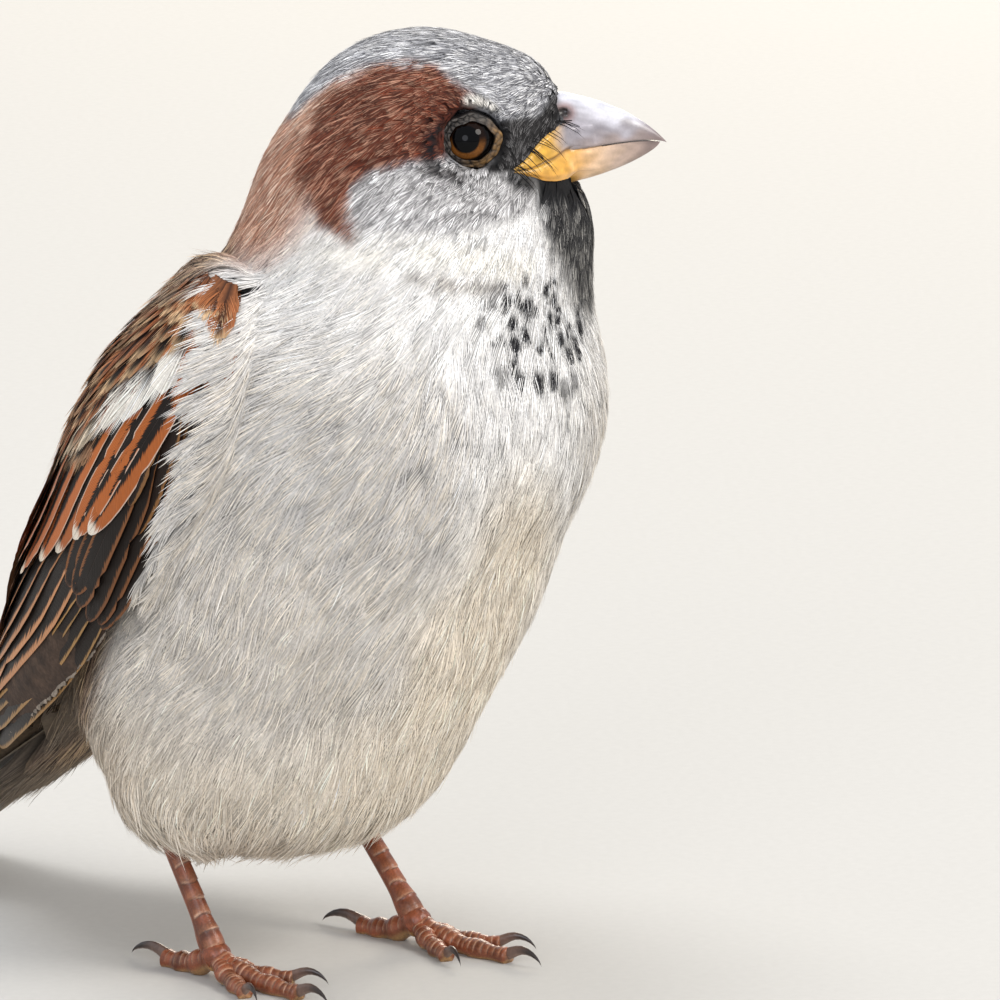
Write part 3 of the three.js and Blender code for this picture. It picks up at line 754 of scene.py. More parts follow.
def skin_map(places):
    """Each place on the skin's own unwrap: the angle round the spine and the share along it."""
    ends = SPINE[::-1]
    legs = np.linalg.norm(np.diff(ends, axis=0), axis=1)
    starts = np.concatenate(((0,), np.cumsum(legs)))
    best = np.full(len(places), 1e9)
    share, angle = np.zeros(len(places)), np.zeros(len(places))
    for a, b, start, leg in zip(ends[:-1], ends[1:], starts, legs):
        line = (b - a) / leg
        along = np.clip((places - a) @ line, -12 if start == 0 else 0, leg)
        off = places - a - along[:, None] * line
        gap = np.linalg.norm(off, axis=1)
        ahead = unit(np.cross(line, np.array((1.0, 0, 0))))
        closer = gap < best
        best = np.where(closer, gap, best)
        share = np.where(closer, (start + along + 14) / (starts[-1] + 28), share)
        angle = np.where(closer, np.arctan2(off[:, 0], off @ ahead), angle)
    return np.stack((angle / math.tau + 0.5, share), axis=1)


PATCH = 0.003  # a tuft's size on its map


class Coat:
    """Gathers ribbons and small sheets with their colours and maps, and makes one piece of them."""

    def __init__(self):
        self.points, self.faces, self.tints, self.maps, self.count = [], [], [], [], 0

    def add(self, points, faces, tints, maps):
        """points [strips, corners, 3], faces [n, 3] of one strip."""
        strips, corners = points.shape[:2]
        starts = self.count + np.arange(strips) * corners
        self.faces.append((faces[None] + starts[:, None, None]).reshape(-1, 3))
        self.points.append(points.reshape(-1, 3))
        self.tints.append(tints.reshape(-1, 3))
        self.maps.append(maps.reshape(-1, 2))
        self.count += strips * corners

    def make(self, name, finish_name, slot, replaced=()):
        mesh = array_mesh(name, np.concatenate(self.points), np.concatenate(self.faces))
        paint(mesh, "Tint", np.clip(np.concatenate(self.tints), 0.0005, 1))
        lay_map(mesh, "OFBake", np.concatenate(self.maps))
        return add_piece(mesh, finish(finish_name), replaced)


def ribbon_faces(segments):
    """Triangles of a tapering strip of point pairs that ends in one point."""
    faces = []
    for k in range(segments - 1):
        a = 2 * k
        faces += [(a, a + 1, a + 3), (a, a + 3, a + 2)]
    last = 2 * (segments - 1)
    return np.array(faces + [(last, last + 1, last + 2)])


BARB_SEGMENTS = 4
FIRST_BARB = 0.2  # the share of the shaft below the first barb


def add_barbs(coat, shafts, rng, width, pitch, thick, tone, wave, lift, uneven=0.035, level_jitter=0.06,
              base=0.72):
    """Soft barbs on both sides of each shaft, combed toward its tip and evenly spread there.
    width is the feather's half-width, pitch and thick the barbs' spacing and width, in mm.
    tone(line, share, off) colours them, and base is how dark they are painted at the root, as painted shade
    from the feathers that lie over them."""
    points, sides, normals = shafts
    feathers = points.shape[1]
    lengths = np.linalg.norm(np.diff(points, axis=0), axis=2).sum(axis=0)
    half = max(round(width.mean() / pitch), 3)
    barbs = 2 * half
    shape = (feathers, barbs)
    side = np.where(np.arange(barbs) % 2 == 0, 1.0, -1.0)[None]
    place = ((np.arange(barbs) // 2 + 0.5) / half)[None] + rng.normal(0, 0.12 / half, shape)
    out = width[:, None] * place
    end = 1.0 - 0.3 * place**2 + uneven * rng.normal(0, 1, shape)
    start = blend(0.78, FIRST_BARB, np.clip(place, 0, 1) ** 0.8) + rng.normal(0, 0.02, shape)
    q = np.arange(BARB_SEGMENTS + 1) / BARB_SEGMENTS
    share = start[..., None] + (end - start)[..., None] * q
    across = side[..., None] * out[..., None] * (1 - (1 - q) ** 1.5)
    phase = rng.uniform(0, math.tau, (feathers, 1, 1)) + rng.normal(0, 0.25, (feathers, barbs, 1))
    across = across + wave * np.sin(phase + share * lengths[:, None, None] * 1.1) * q
    middle, aside, normal = (along_shaft(rows, share) for rows in (points, sides, normals))
    normal = unit(normal)
    full = np.maximum(width, 0.3)[:, None, None]
    stray = (rng.random(shape) < 0.05) * rng.uniform(0.1, 0.24, shape) * width[:, None]
    rise = lift * (rng.uniform(-0.3, 1, shape)[..., None] * q)
    rise = rise + stray[..., None] * q**2 - 0.05 * across**2 / full
    line = middle + aside * across[..., None] + normal * rise[..., None]
    way = unit(np.gradient(line, axis=2))
    flat = unit(np.cross(normal, way))
    roll = rng.normal(0, 0.15, shape)[..., None, None]
    flat = flat * np.cos(roll) + normal * np.sin(roll)
    taper = np.interp(q, (0, 0.3, 0.8, 1), (0.7, 1.0, 0.9, 0.3))
    offset = flat * (0.5 * thick * rng.uniform(0.8, 1.2, shape)[..., None] * taper)[..., None]
    pairs = np.stack((line - offset, line + offset), axis=3)[:, :, :-1].reshape(feathers, barbs, -1, 3)
    strips = np.concatenate((pairs, line[:, :, -1:]), axis=2)
    off = np.abs(across) / full
    # Painted shade: each barb is darker toward the feather's root, from base up to full brightness.
    level = blend(base, 1.0, smooth(0.1, 0.75, share)) * np.exp(
        rng.normal(0, level_jitter, shape) + rng.normal(0, 0.6 * level_jitter, (feathers, 1)))[..., None]
    colour = tone(line, share, off) * level[..., None]
    tints = np.concatenate((np.repeat(colour[:, :, :-1], 2, axis=2), colour[:, :, -1:]), axis=2)
    local = np.stack((share, 0.5 + 0.5 * across / full), axis=-1)
    maps = skin_map(points[0])[:, None, None] + PATCH * (np.clip(local, 0, 1) - 0.5)
    maps = np.concatenate((np.repeat(maps[:, :, :-1], 2, axis=2), maps[:, :, -1:]), axis=2)
    corners = strips.shape[2]
    coat.add(strips.reshape(-1, corners, 3), ribbon_faces(BARB_SEGMENTS), tints.reshape(-1, corners, 3),
             maps.reshape(-1, corners, 2))


BED_SHARES = np.array((0.04, 0.28, 0.5, 0.68, 0.86))
BED_WIDTHS = np.array((0.35, 0.6, 0.88, 0.9, 0.5))


def add_beds(coat, shafts, rng, width, tone, sink=0.12, shade=0.56):
    """A closed sheet under each feather's barbs, so that no skin shows through, painted dark by shade as
    painted shadow in the gaps between the barbs.
    """
    points, sides, normals = shafts
    feathers, rows = points.shape[1], len(BED_SHARES)
    share = np.broadcast_to(BED_SHARES, (feathers, rows))
    half = width[:, None] * BED_WIDTHS
    middle, aside, normal = (along_shaft(values, share) for values in (points, sides, normals))
    across = np.array((-1, 0, 1)) * half[..., None]
    sheet = middle[:, :, None] + aside[:, :, None] * across[..., None]
    full = np.maximum(width, 0.3)[:, None, None]
    sheet = sheet - normal[:, :, None] * (sink + 0.05 * across**2 / full)[..., None]
    off = np.abs(across) / full
    wide = np.broadcast_to(share[..., None], off.shape)
    # Painted shade: the bed is darker by shade, and darker still toward the root.
    level = shade * np.exp(rng.normal(0, 0.05, (feathers, 1, 1, 1)))
    level = level * np.interp(wide, (0, 0.6), (0.7, 1))[..., None]
    faces = []
    for i in range(rows - 1):
        for j in range(2):
            a = 3 * i + j
            faces += [(a, a + 1, a + 4), (a, a + 4, a + 3)]
    local = np.stack(np.broadcast_arrays(wide, 0.5 + 0.4 * np.array((-1, 0, 1))), axis=-1)
    maps = skin_map(points[0])[:, None, None] + PATCH * (local - 0.5)
    colour = tone(sheet, wide, off) * level
    coat.add(sheet.reshape(feathers, 3 * rows, 3), np.array(faces),
             colour.reshape(feathers, 3 * rows, 3), maps.reshape(feathers, 3 * rows, 2))


def coat_tone(rng, feathers, jitter, spots=None):
    """Colours of body feathers, from the markings where each one lies."""
    own = rng.normal(0, jitter, (feathers, 1, 1, 3))

    def tone(line, share, off):
        places = line + own + rng.normal(0, 0.3 * jitter, (*line.shape[:2], 1, 3))
        rows = markings(places.reshape(-1, 3)).reshape(*line.shape[:3], -1)
        strand = rng.random((*line.shape[:2], 1))
        heart = 0.35 + 0.65 * smooth(0.6, 0.15, off)
        streak = np.clip(rows[..., 6] * 1.6 * (strand < 0.5), 0, 1) * heart
        colour = blend(rows[..., :3], rows[..., 3:6], streak[..., None])
        ends = np.clip(rows[..., 10] * (0.2 + 1.3 * (strand > 0.65)), 0, 1) * smooth(0.35, 0.9, share)
        colour = blend(colour, rows[..., 7:10], ends[..., None])
        if spots is not None:
            heart = smooth(0.62, 0.42, off) * smooth(0.56, 0.66, share) * smooth(0.98, 0.91, share)
            colour = blend(colour, linear("#17161a"), (spots[:, None, None] * heart)[..., None])
        return colour

    return tone


def plume_tone(plans):
    """Colours of back and wing feathers: edge, dark heart and tip, from one plan for each."""
    edge, heart, tip, plan = (np.array(rows, float)[:, None, None] for rows in zip(*plans))

    def tone(line, share, off):
        reach = plan[..., 0] * (1 - share * plan[..., 2])
        dark = smooth(0.1, -0.1, off - reach)
        colour = blend(edge, heart, dark[..., None])
        end = smooth(-0.05, 0.05, share + 0.12 * off - (1 - plan[..., 1]))
        return blend(colour, tip, end[..., None])

    return tone


# ---------- skin and the forms under the feathers ----------
PLATES = ("wing_left", "wing_right", "tail")
TAIL_ROOT, TAIL_END = np.array((0, 9.2, 32.0)), np.array((0, 53.5, 1.6))
TAIL_LENGTH = 55.0
TAIL_AHEAD = unit(TAIL_END - TAIL_ROOT)
TAIL_BACK = np.cross(np.array((1.0, 0, 0)), TAIL_AHEAD)
SURFACES = {}  # forms shared by the operators, each made once


def node_surface(nodes):
    """The solids of some nodes as they are."""
    points, faces, count = [], [], 0
    for node in nodes:
        p, f = read_mesh(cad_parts[node].data)
        points.append(p)
        faces.append(f + count)
        count += len(p)
    return Surface(np.concatenate(points), np.concatenate(faces))


def socket_depth(places):
    """The skin sinks round each eye, and rises to the horn round the bill."""
    bill = np.linalg.norm((to_head(places) - (14.5, 0, -1.5)) / (1, 1.25, 1), axis=1)
    return 1.2 * smooth(5.0, 3.4, eye_gap(places)) + 0.3 * smooth(9.5, 6.5, bill)


def form(name, nodes, plates=()):
    """The nodes' joined form, lowered by the coat's depth so that feather tips reach the solids."""
    if name not in SURFACES:
        points, faces = shell_of(nodes, 0.25, 0.8, 5, 110 if plates else 0, 86)
        outer = Surface(points, faces)
        depth = coat_depth(points) + socket_depth(points)
        if plates:
            gap = node_surface(plates).gap(points)
            body_gap = node_surface(FLESH).gap(points)
            tail = (points - TAIL_ROOT) @ TAIL_AHEAD
            thin = np.where(tail > 0, blend(2.0, 0.5, smooth(6, 30, tail)), 0.5)
            depth = blend(depth, thin, smooth(0.3, -0.3, gap - body_gap))
        SURFACES[name] = Surface(points - outer.corner_normals * depth[:, None], faces)
        SURFACES[name + " solids"] = outer
    return SURFACES[name]


def flesh():
    """The bare bird without its feathers."""
    return form("flesh", FLESH)


def rump_form():
    """Body and tail without the wings: what belly, flank and rump feathers lie on."""
    return form("rump", (*FLESH, "tail"), ("tail",))


def dress():
    """Body, folded wings and tail: what breast and back feathers lie on."""
    return form("dress", FLESH + PLATES, PLATES)


def make_skin():
    skin = flesh()
    mesh = array_mesh("skin", skin.points, skin.faces)
    rows = markings(skin.points)
    # Painted shade: the skin takes the markings at half brightness, as the shadowed depths between the
    # feathers.
    level = 0.5 + 0.1 * ripple(skin.points, 1.5, 5)
    paint(mesh, "Tint", rows[:, :3] * level[:, None])
    lay_map(mesh, "OFBake", skin_map(skin.points))
    add_piece(mesh, finish("Skin under down"), FLESH)


# ---------- the coat of loose feathers ----------
def shoulder_gap(places, reach):
    """Distance in mm from the front edge of the nearer wing, up to a share of the wing's length."""
    edge = bent_line(LOWER_EDGE, np.linspace(0, reach, 24))
    edges = [edge * (side, 1, 1) for side in SIDES.values()]
    gaps = [np.linalg.norm(places[:, None] - line[None], axis=2).min(axis=1) for line in edges]
    return np.minimum(*gaps)


def coat_length(places):
    """Feather length in mm: shortest at the bill, longest on belly and vent."""
    d = np.linalg.norm(places - BILL_BASE, axis=1)
    length = np.interp(d, (2, 8, 14, 22, 30, 40, 55, 80), (2.0, 3.4, 5.2, 6.8, 8.4, 10.5, 13.5, 15.5))
    length = np.minimum(length, 1.5 + 0.75 * np.maximum(eye_gap(places) - 3.9, 0))
    length = np.minimum(length, 5.5 + 0.9 * np.maximum(leg_gap(places) - 4, 0))
    return np.minimum(length, 6.0 + shoulder_gap(places, 0.45))


def bare(places):
    """Where no feather roots: the eye rings, the horn and the soft yellow skin at the gape."""
    q = to_half_head(places)
    gape = brushed(q, ((16, 4.2, -3.2, 3.0), (13.4, 6.4, -3.4, 2.2), (10.2, 8.6, -4.0, 0.8)), 0.05)
    horn = brushed(q, ((13.8, 0, -0.4, 3.2), (20, 0, -2, 3.2)), 0.05)
    return (gape > 0.5) | (horn > 0.5) | (eye_gap(places) < 3.8)


COAT_ZONES = (
    # name, form, root spacing, barb pitch, barb width, half-width as a share of the length,
    # how dark the bed is painted as shade between the barbs, how uneven the barbs' tones are, seed
    ("coat_face", dress, 0.56, 0.14, 0.07, 0.2, 0.45, 0.2, 11),
    ("coat_head", dress, 0.85, 0.16, 0.08, 0.19, 0.45, 0.2, 12),
    ("coat_neck", dress, 1.3, 0.19, 0.095, 0.19, 0.52, 0.12, 13),
    ("coat_breast", dress, 1.8, 0.22, 0.11, 0.2, 0.6, 0.1, 14),
    ("coat_belly", rump_form, 1.85, 0.23, 0.115, 0.2, 0.6, 0.12, 15),
    ("coat_vent", rump_form, 2.0, 0.26, 0.13, 0.2, 0.6, 0.12, 16),
    ("coat_shoulder", dress, 1.15, 0.19, 0.1, 0.17, 0.6, 0.1, 17),
)
FACE, SCALP, NECK, BREAST, BELLY, VENT, SHOULDER = range(7)


def zone_of(places):
    """The index of the coat zone for each place."""
    d = np.linalg.norm(places - BILL_BASE, axis=1)
    zone = np.where(d < 25, SCALP, np.where(d < 40, NECK, BREAST))
    zone = np.where((d < 10.5) | (eye_gap(places) < 6.2), FACE, zone)
    low = (places[:, 2] < 61) | (behind_spine(places) > 7) & (places[:, 2] < 80)
    zone = np.where((zone == BREAST) & low, BELLY, zone)
    zone = np.where((zone == BELLY) & (places[:, 2] < 32), VENT, zone)
    return np.where((zone >= NECK) & (shoulder_gap(places, 0.3) < 4.5), SHOULDER, zone)


def on_back(places):
    """How far a place is on the mantle, where closed feathers take over from the loose ones."""
    height = places[:, 2]
    return smooth(8, 10.5, behind_spine(places)) * smooth(50, 54, height) * smooth(90, 87, height)


def own_side(points):
    """Which side of the bird a place is on: positive on its left. The head is turned, the body is not."""
    head = smooth(84, 92, points[:, 2])
    return blend(points[:, 0], to_head(points)[:, 1], head)


def beside_wings(points, normals, wings, ahead=(0.0, 0.0, 0.0)):
    """Whether each place is clear of the folded wings, neither under nor over them."""
    clear = []
    for p, n in zip((points + ahead).tolist(), normals.tolist()):
        under = wings.tree.ray_cast(p, n, 3.5)[0] is not None
        over = wings.tree.ray_cast(p, [-c for c in n], 3.5)[0] is not None
        clear.append(not (under or over))
    return np.array(clear, bool)


def make_coat_zone(index, side):
    """One zone of the coat on one side of the bird."""
    name, surface_of, spacing, pitch, thick, slim, shade, jitter, seed = COAT_ZONES[index]
    rng = np.random.default_rng(seed + 20 * (side > 0))
    surface = surface_of()
    wings = node_surface(PLATES[:2])

    def keep(points, normals):
        good = (zone_of(points) == index) & ~bare(points) & (on_back(points) < 0.9)
        good &= ((points - TAIL_ROOT) @ TAIL_AHEAD < 19) & (own_side(points) * side >= 0)
        some = np.nonzero(good)[0]
        clear = beside_wings(points[some], normals[some], wings)
        if surface_of is rump_form:
            clear |= beside_wings(points[some], normals[some], wings, (0, -5, 2))
        good[some] = clear
        return good

    roots, normals = surface.scatter(spacing, rng, keep)
    lengths = coat_length(roots) * rng.uniform(0.88, 1.1, len(roots))
    depth = coat_depth(roots)
    high = depth * rng.uniform(0.9, 1.0, len(roots))
    if surface_of is rump_form:
        ends = roots + coat_flow(roots, normals) * (0.6 * lengths)[:, None]
        high = high * blend(0.3, 1.0, smooth(1.5, 6, wings.gap(ends)))
    drift = rng.normal(0, 0.03, len(roots))

    def lift(share):
        return blend(0.1 * depth, high, 1 - (1 - share) ** 3)

    shafts = lay_shafts(surface, roots, lengths, lift, drift, 6)
    if index == VENT:
        hang = 0.9 * smooth(0.1, -0.5, shafts[2][0][:, 2])
        shafts[0][:, :, 2] -= hang * (np.linspace(0, 1, 6) ** 2)[:, None]
    width = slim * lengths + 0.1
    fringe = smooth(7, 2, wings.gap(shafts[0][-1])) * (index >= NECK)
    width = width * (1 - 0.3 * fringe)
    uneven = (0.035 + 0.11 * fringe + (0.05 if index == VENT else 0))[:, None]
    spots = breast_spots(shafts[0][3], rng) if index in (SCALP, NECK, BREAST) else None
    tone = coat_tone(rng, len(roots), 0.16 * spacing + (0.1 if index else 0.0), spots)
    coat = Coat()
    add_beds(coat, shafts, rng, width * (1 - 0.35 * fringe), tone, sink=0.06 * depth.mean(), shade=shade)
    pitch = pitch / sizes().fullness
    add_barbs(coat, shafts, rng, width, pitch, thick, tone, wave=0.03 * spacing, lift=0.03 * depth.mean(),
              uneven=uneven, level_jitter=jitter)
    coat.make(name + ("_left" if side > 0 else "_right"), "Down barbs", "plumage")


# ---------- closed vanes ----------
VANE_COLUMNS = np.array((-1, -0.82, -0.5, -0.15, 0, 0.15, 0.5, 0.82, 1))
VANE_ROWS = 20


class Vanes:
    """Gathers closed feathers, each a curved sheet with its own colours, and makes one piece."""

    def __init__(self, cells):
        self.cells = cells  # feathers along each side of the map
        self.points, self.faces, self.maps, self.bakes = [], [], [], []
        self.looks = {"Edge": [], "Centre": [], "Tip": [], "Plan": []}
        self.made = 0

    def add(self, shaft, width, edge, centre, tip, plan, rng, roundness=0.75, outer=1.0,
            bow=0.03, notches=1, base=0.35):
        """shaft is (points, sides, normals); outer is the outer half's width against the inner's.
        plan is the dark centre's half-width, the tip's share and how the centre narrows.
        base is the width at the root against the full width."""
        points, sides, normals = (s[:, None] for s in shaft)
        v = 1 - (1 - np.linspace(0, 1, VANE_ROWS)) ** 1.6
        spot = v[None]
        middle, aside, normal = (along_shaft(rows, spot)[0] for rows in (points, sides, normals))
        end = np.clip(v - roundness, 0, 1) / (1 - roundness)
        outline = blend(base, 1.0, smooth(0, 0.3, v)) * np.sqrt(np.clip(1 - end**2, 0, 1))
        reach = np.where(VANE_COLUMNS > 0, width, width * outer)
        across = outline[:, None] * (VANE_COLUMNS * reach)[None]
        for _ in range(notches):
            row, column = rng.integers(6, VANE_ROWS - 3), rng.choice((0, -1))
            across[row, column] *= rng.uniform(0.72, 0.9)
        along = unit(np.gradient(middle, axis=0))
        sweep = 0.35 * np.abs(across) * smooth(1.0, 0.6, v)[:, None]
        sheet = middle[:, None] + aside[:, None] * across[..., None] + along[:, None] * sweep[..., None]
        sheet = sheet - normal[:, None] * (bow * across**2 + 0.02 * rng.normal(size=across.shape))[..., None]
        rows, columns = len(v), len(VANE_COLUMNS)
        at = np.arange(rows * columns).reshape(rows, columns)
        quads = np.stack((at[:-1, :-1], at[:-1, 1:], at[1:, 1:], at[1:, :-1]), axis=-1).reshape(-1, 4)
        start = self.made * rows * columns
        self.faces.append(quads + start)
        self.points.append(sheet.reshape(-1, 3))
        place = np.broadcast_arrays((VANE_COLUMNS / 2 + 0.5)[None], v[:, None])
        place = np.stack(place, axis=-1).reshape(-1, 2)
        self.maps.append(place)
        cell = np.array((self.made % self.cells, self.made // self.cells))
        self.bakes.append((cell + 0.04 + 0.92 * place) / self.cells)
        for key, value in (("Edge", edge), ("Centre", centre), ("Tip", tip), ("Plan", plan)):
            self.looks[key].append(np.repeat(np.array(value, float)[None], rows * columns, axis=0))
        self.made += 1

    def make(self, name, slot, replaced=()):
        if self.made > self.cells**2:
            raise ValueError(f"{name}: {self.made} feathers need a larger map than {self.cells} across")
        mesh = array_mesh(name, np.concatenate(self.points), np.concatenate(self.faces))
        for key, rows in self.looks.items():
            paint(mesh, key, np.concatenate(rows))
        lay_map(mesh, "Vane", np.concatenate(self.maps))
        lay_map(mesh, "OFBake", np.concatenate(self.bakes))
        return add_piece(mesh, finish("Closed vanes"), replaced)


def varied(colour, rng, amount=0.08):
    """A colour made lighter or darker by chance."""
    return np.array(colour) * math.exp(rng.normal(0, amount))


# ---------- wings ----------
LOWER_EDGE = np.array(((20.5, -26.8, 84), (27, -28.8, 71), (28.9, -23.3, 58), (28.5, -12, 44),
                       (25.5, -1.8, 34.5), (18, 13.2, 25.5), (12.5, 22.2, 21.5), (8.2, 28.7, 20.6)))
UPPER_EDGE = np.array(((15, -18.8, 85), (11.5, -5.8, 75), (9.5, 3.2, 62), (7.5, 10.2, 50),
                       (6, 16.2, 40.5), (5, 22.7, 32.5), (4.6, 27.7, 26.5), (4.2, 31.7, 23)))
WING_BOW = 0.26  # the bow across a wing, as a share of its width


class WingSheet:
    """The outside of one folded wing: s runs from shoulder to tip, t from the lower edge to the upper."""

    def __init__(self, name, side):
        self.side = side
        self.surface = node_surface((name,))

    def raw(self, s, t):
        low = bent_line(LOWER_EDGE * (self.side, 1, 1), s)
        high = bent_line(UPPER_EDGE * (self.side, 1, 1), s)
        t = np.asarray(t, float)[..., None]
        middle = (low + high) / 2
        heart = np.interp(middle[..., 2], SPINE[:, 2], SPINE[:, 1])
        core = np.stack((0 * middle[..., 0], heart, middle[..., 2]), axis=-1)
        bow = unit(middle - core)
        width = np.linalg.norm(high - low, axis=-1, keepdims=True)
        place = blend(low, high, t) + bow * WING_BOW * width * np.sin(math.pi * np.clip(t, 0, 1))
        return place, unit((place - core) * (1, 1, 0))

    def place(self, s, t):
        """Points on the wing's outside and its smooth normals."""
        raw, away = self.raw(s, t)
        points = []
        for p, a in zip(raw, away):
            hit = self.surface.tree.ray_cast((p + 9 * a).tolist(), (-a).tolist(), 18)
            if hit[0] is None:
                hit = self.surface.tree.find_nearest((p + a).tolist())
            points.append(hit[0][:])
        ds = self.raw(s + 0.01, t)[0] - self.raw(s - 0.01, t)[0]
        dt = self.raw(s, t + 0.02)[0] - self.raw(s, t - 0.02)[0]
        normal = unit(np.cross(ds, dt))
        normal = normal * np.sign((normal * away).sum(axis=1, keepdims=True))
        return np.array(points), normal

    def shaft(self, root, tip, lift, stations=9):
        """A shaft from root to tip, both [s, t], lifted off the wing by lift[0] to lift[1] mm."""
        share = np.linspace(0, 1, stations)
        s = blend(root[0], tip[0], share)
        t = blend(root[1], tip[1], share)
        points, normals = self.place(s, t)
        for _ in range(2):
            points[1:-1] = (points[:-2] + points[1:-1] * 2 + points[2:]) / 4
        points = points + normals * blend(lift[0], lift[1], share)[:, None]
        ways = unit(np.gradient(points, axis=0))
        sides = unit(np.cross(normals, ways))
        return points, sides, unit(np.cross(ways, sides))


# Where the feathers with white ends stop across the wing, as [s, t].
BAR_TIPS = ((0.14, 0.03), (0.18, 0.28), (0.24, 0.44), (0.3, 0.6), (0.35, 0.77), (0.38, 0.93))


def wing_rows():
    """Rows of closed wing feathers from the bottom layer up.
    Each row: name, number, first and last root [s, t], tips along the row, half-widths in mm,
    lifts in mm, edge, centre and tip colours, plan, roundness, outer half's width."""
    c = colours()
    gold, black = linear("#a8804f"), linear("#1a110b")
    brown, amber = linear("#54392a"), blend(c.rufous, c.buff, 0.3)
    return (
        ("primaries", 8, (0.36, 0.05), (0.4, 0.3),
         ((0.965, 0.1), (0.99, 0.28), (1.0, 0.45), (0.985, 0.58), (0.955, 0.66), (0.92, 0.7),
          (0.885, 0.72), (0.85, 0.74)),
         (2.0, 2.5), (0.0, 0.05), gold, black, brown, (0.84, 0.02, 0.05), 0.8, 0.62),
        ("secondaries", 6, (0.34, 0.2), (0.4, 0.6), ((0.8, 0.5), (0.72, 0.8)),
         (2.9, 3.2), (0.1, 0.25), amber, black, gold, (0.8, 0.03, 0.1), 0.85, 0.7),
        ("primary_coverts", 6, (0.19, 0.06), (0.24, 0.26), ((0.46, 0.0), (0.4, 0.22)),
         (1.8, 2.1), (0.15, 0.3), linear("#7a4c2a"), black, brown, (0.84, 0.02, 0.1), 0.7, 0.8),
        ("alula", 3, (0.12, 0.08), (0.16, 0.2), ((0.345, 0.01), (0.28, 0.13)),
         (1.35, 1.5), (0.2, 0.35), linear("#8a6038"), linear("#241811"), brown, (0.8, 0.02, 0.25), 0.35, 0.8),
        ("tertials", 4, (0.36, 0.62), (0.36, 0.9), ((0.74, 0.66), (0.7, 0.8), (0.66, 0.9), (0.6, 0.97)),
         (3.9, 3.6), (0.3, 0.5), amber, black, c.buff, (0.62, 0.03, 0.2), 0.72, 1.0),
        ("greater_coverts", 10, (0.115, 0.17), (0.3, 0.88),
         ((0.33, 0.22), (0.375, 0.36), (0.45, 0.56), (0.5, 0.76), (0.54, 0.93)),
         (2.2, 2.6), (0.35, 0.7), c.rufous, black, c.bar, (0.58, 0.06, 0.85), 0.58, 0.85),
    )


def gathered(shafts):
    """Single shafts as one set of rows."""
    return tuple(np.stack([shaft[k] for shaft in shafts], axis=1) for k in range(3))


def add_plumes(coat, shafts, widths, plans, rng, pitch=0.2, thick=0.12):
    """Soft coverts: beds and barbs in the colours of one plan for each feather."""
    rows, width, tone = gathered(shafts), np.array(widths), plume_tone(plans)
    # Painted shade: the beds are painted at 0.72 of the feather colours, and the barbs at 0.75 toward the
    # root.
    add_beds(coat, rows, rng, width, tone, sink=0.08, shade=0.72)
    add_barbs(coat, rows, rng, width, pitch, thick, tone, wave=0.03, lift=0.06, base=0.75, level_jitter=0.12)


LESSER_ROWS = (  # how far above the white bar each row ends, and its length, as shares of the wing
    (0.075, 0.115), (0.12, 0.11), (0.165, 0.1), (0.21, 0.1), (0.26, 0.1), (0.31, 0.1), (0.36, 0.1),
)
LESSER_COUNT, MEDIAN_COUNT = 11, 12


def make_wing_plumes(name, sheet):
    """Lesser and median coverts, soft and hairy, over the front of the wing."""
    rng = np.random.default_rng(32)
    c = colours()
    coat = Coat()
    black, cocoa, rose = linear("#1a120e"), linear("#4c2c1c"), linear("#bd8058")
    white, buff = c.bar, c.buff
    shafts, widths, plans = [], [], []
    for i in range(MEDIAN_COUNT):
        x = i / (MEDIAN_COUNT - 1)
        tip = bent_line(BAR_TIPS, x) + rng.normal(0, 0.006, 2)
        root = tip - (blend(0.14, 0.17, x), 0.02)
        shafts.append(sheet.shaft(np.maximum(root, 0), tip, (0.3, 0.9)))
        widths.append(blend(2.3, 2.7, x))
        end = blend(white, 0.85 * buff, 0.8 * smooth(0.32, 0.5, x))
        end = blend(end, c.rufous, smooth(0.17, 0.12, x))
        heart = blend(0.6 * c.rufous, black, smooth(0.05, 0.25, x))
        plan = (0.6, blend(0.46, 0.2, smooth(0.25, 0.6, x)), 0.15)
        plans.append((varied(c.rufous, rng), heart, varied(end, rng, 0.03), plan))
    add_plumes(coat, shafts, widths, plans, rng)
    shafts, widths, plans = [], [], []
    for row, (gap, reach) in enumerate(LESSER_ROWS):
        for i in range(LESSER_COUNT):
            x = (i + 0.5 * (row % 2)) / (LESSER_COUNT - 0.5)
            tip = bent_line(BAR_TIPS, x) - (gap, -0.015) + rng.normal(0, 0.007, 2)
            root = tip - (reach, -0.02)
            tip[0] = max(tip[0], rng.uniform(0.045, 0.08))
            shafts.append(sheet.shaft(np.maximum(root, 0.0), tip, (0.45 + 0.09 * row, 0.95 + 0.1 * row)))
            widths.append(rng.uniform(1.6, 2.1))
            soft = rng.uniform(0, 1)
            edge = blend(c.rufous, rose, 0.1 + 0.5 * soft)
            heart = blend(black, cocoa, min(row / 3, 1))
            tip_colour = blend(rose, buff, 0.7)
            plan = (blend(0.55, 0.3, min(row / 3, 1)), 0.16, 0.35)
            plans.append((varied(edge, rng, 0.12), varied(heart, rng), varied(tip_colour, rng), plan))
    add_plumes(coat, shafts, widths, plans, rng)
    coat.make(name.replace("wing", "wing_plumes"), "Down barbs", "wing_feathers", (name,))


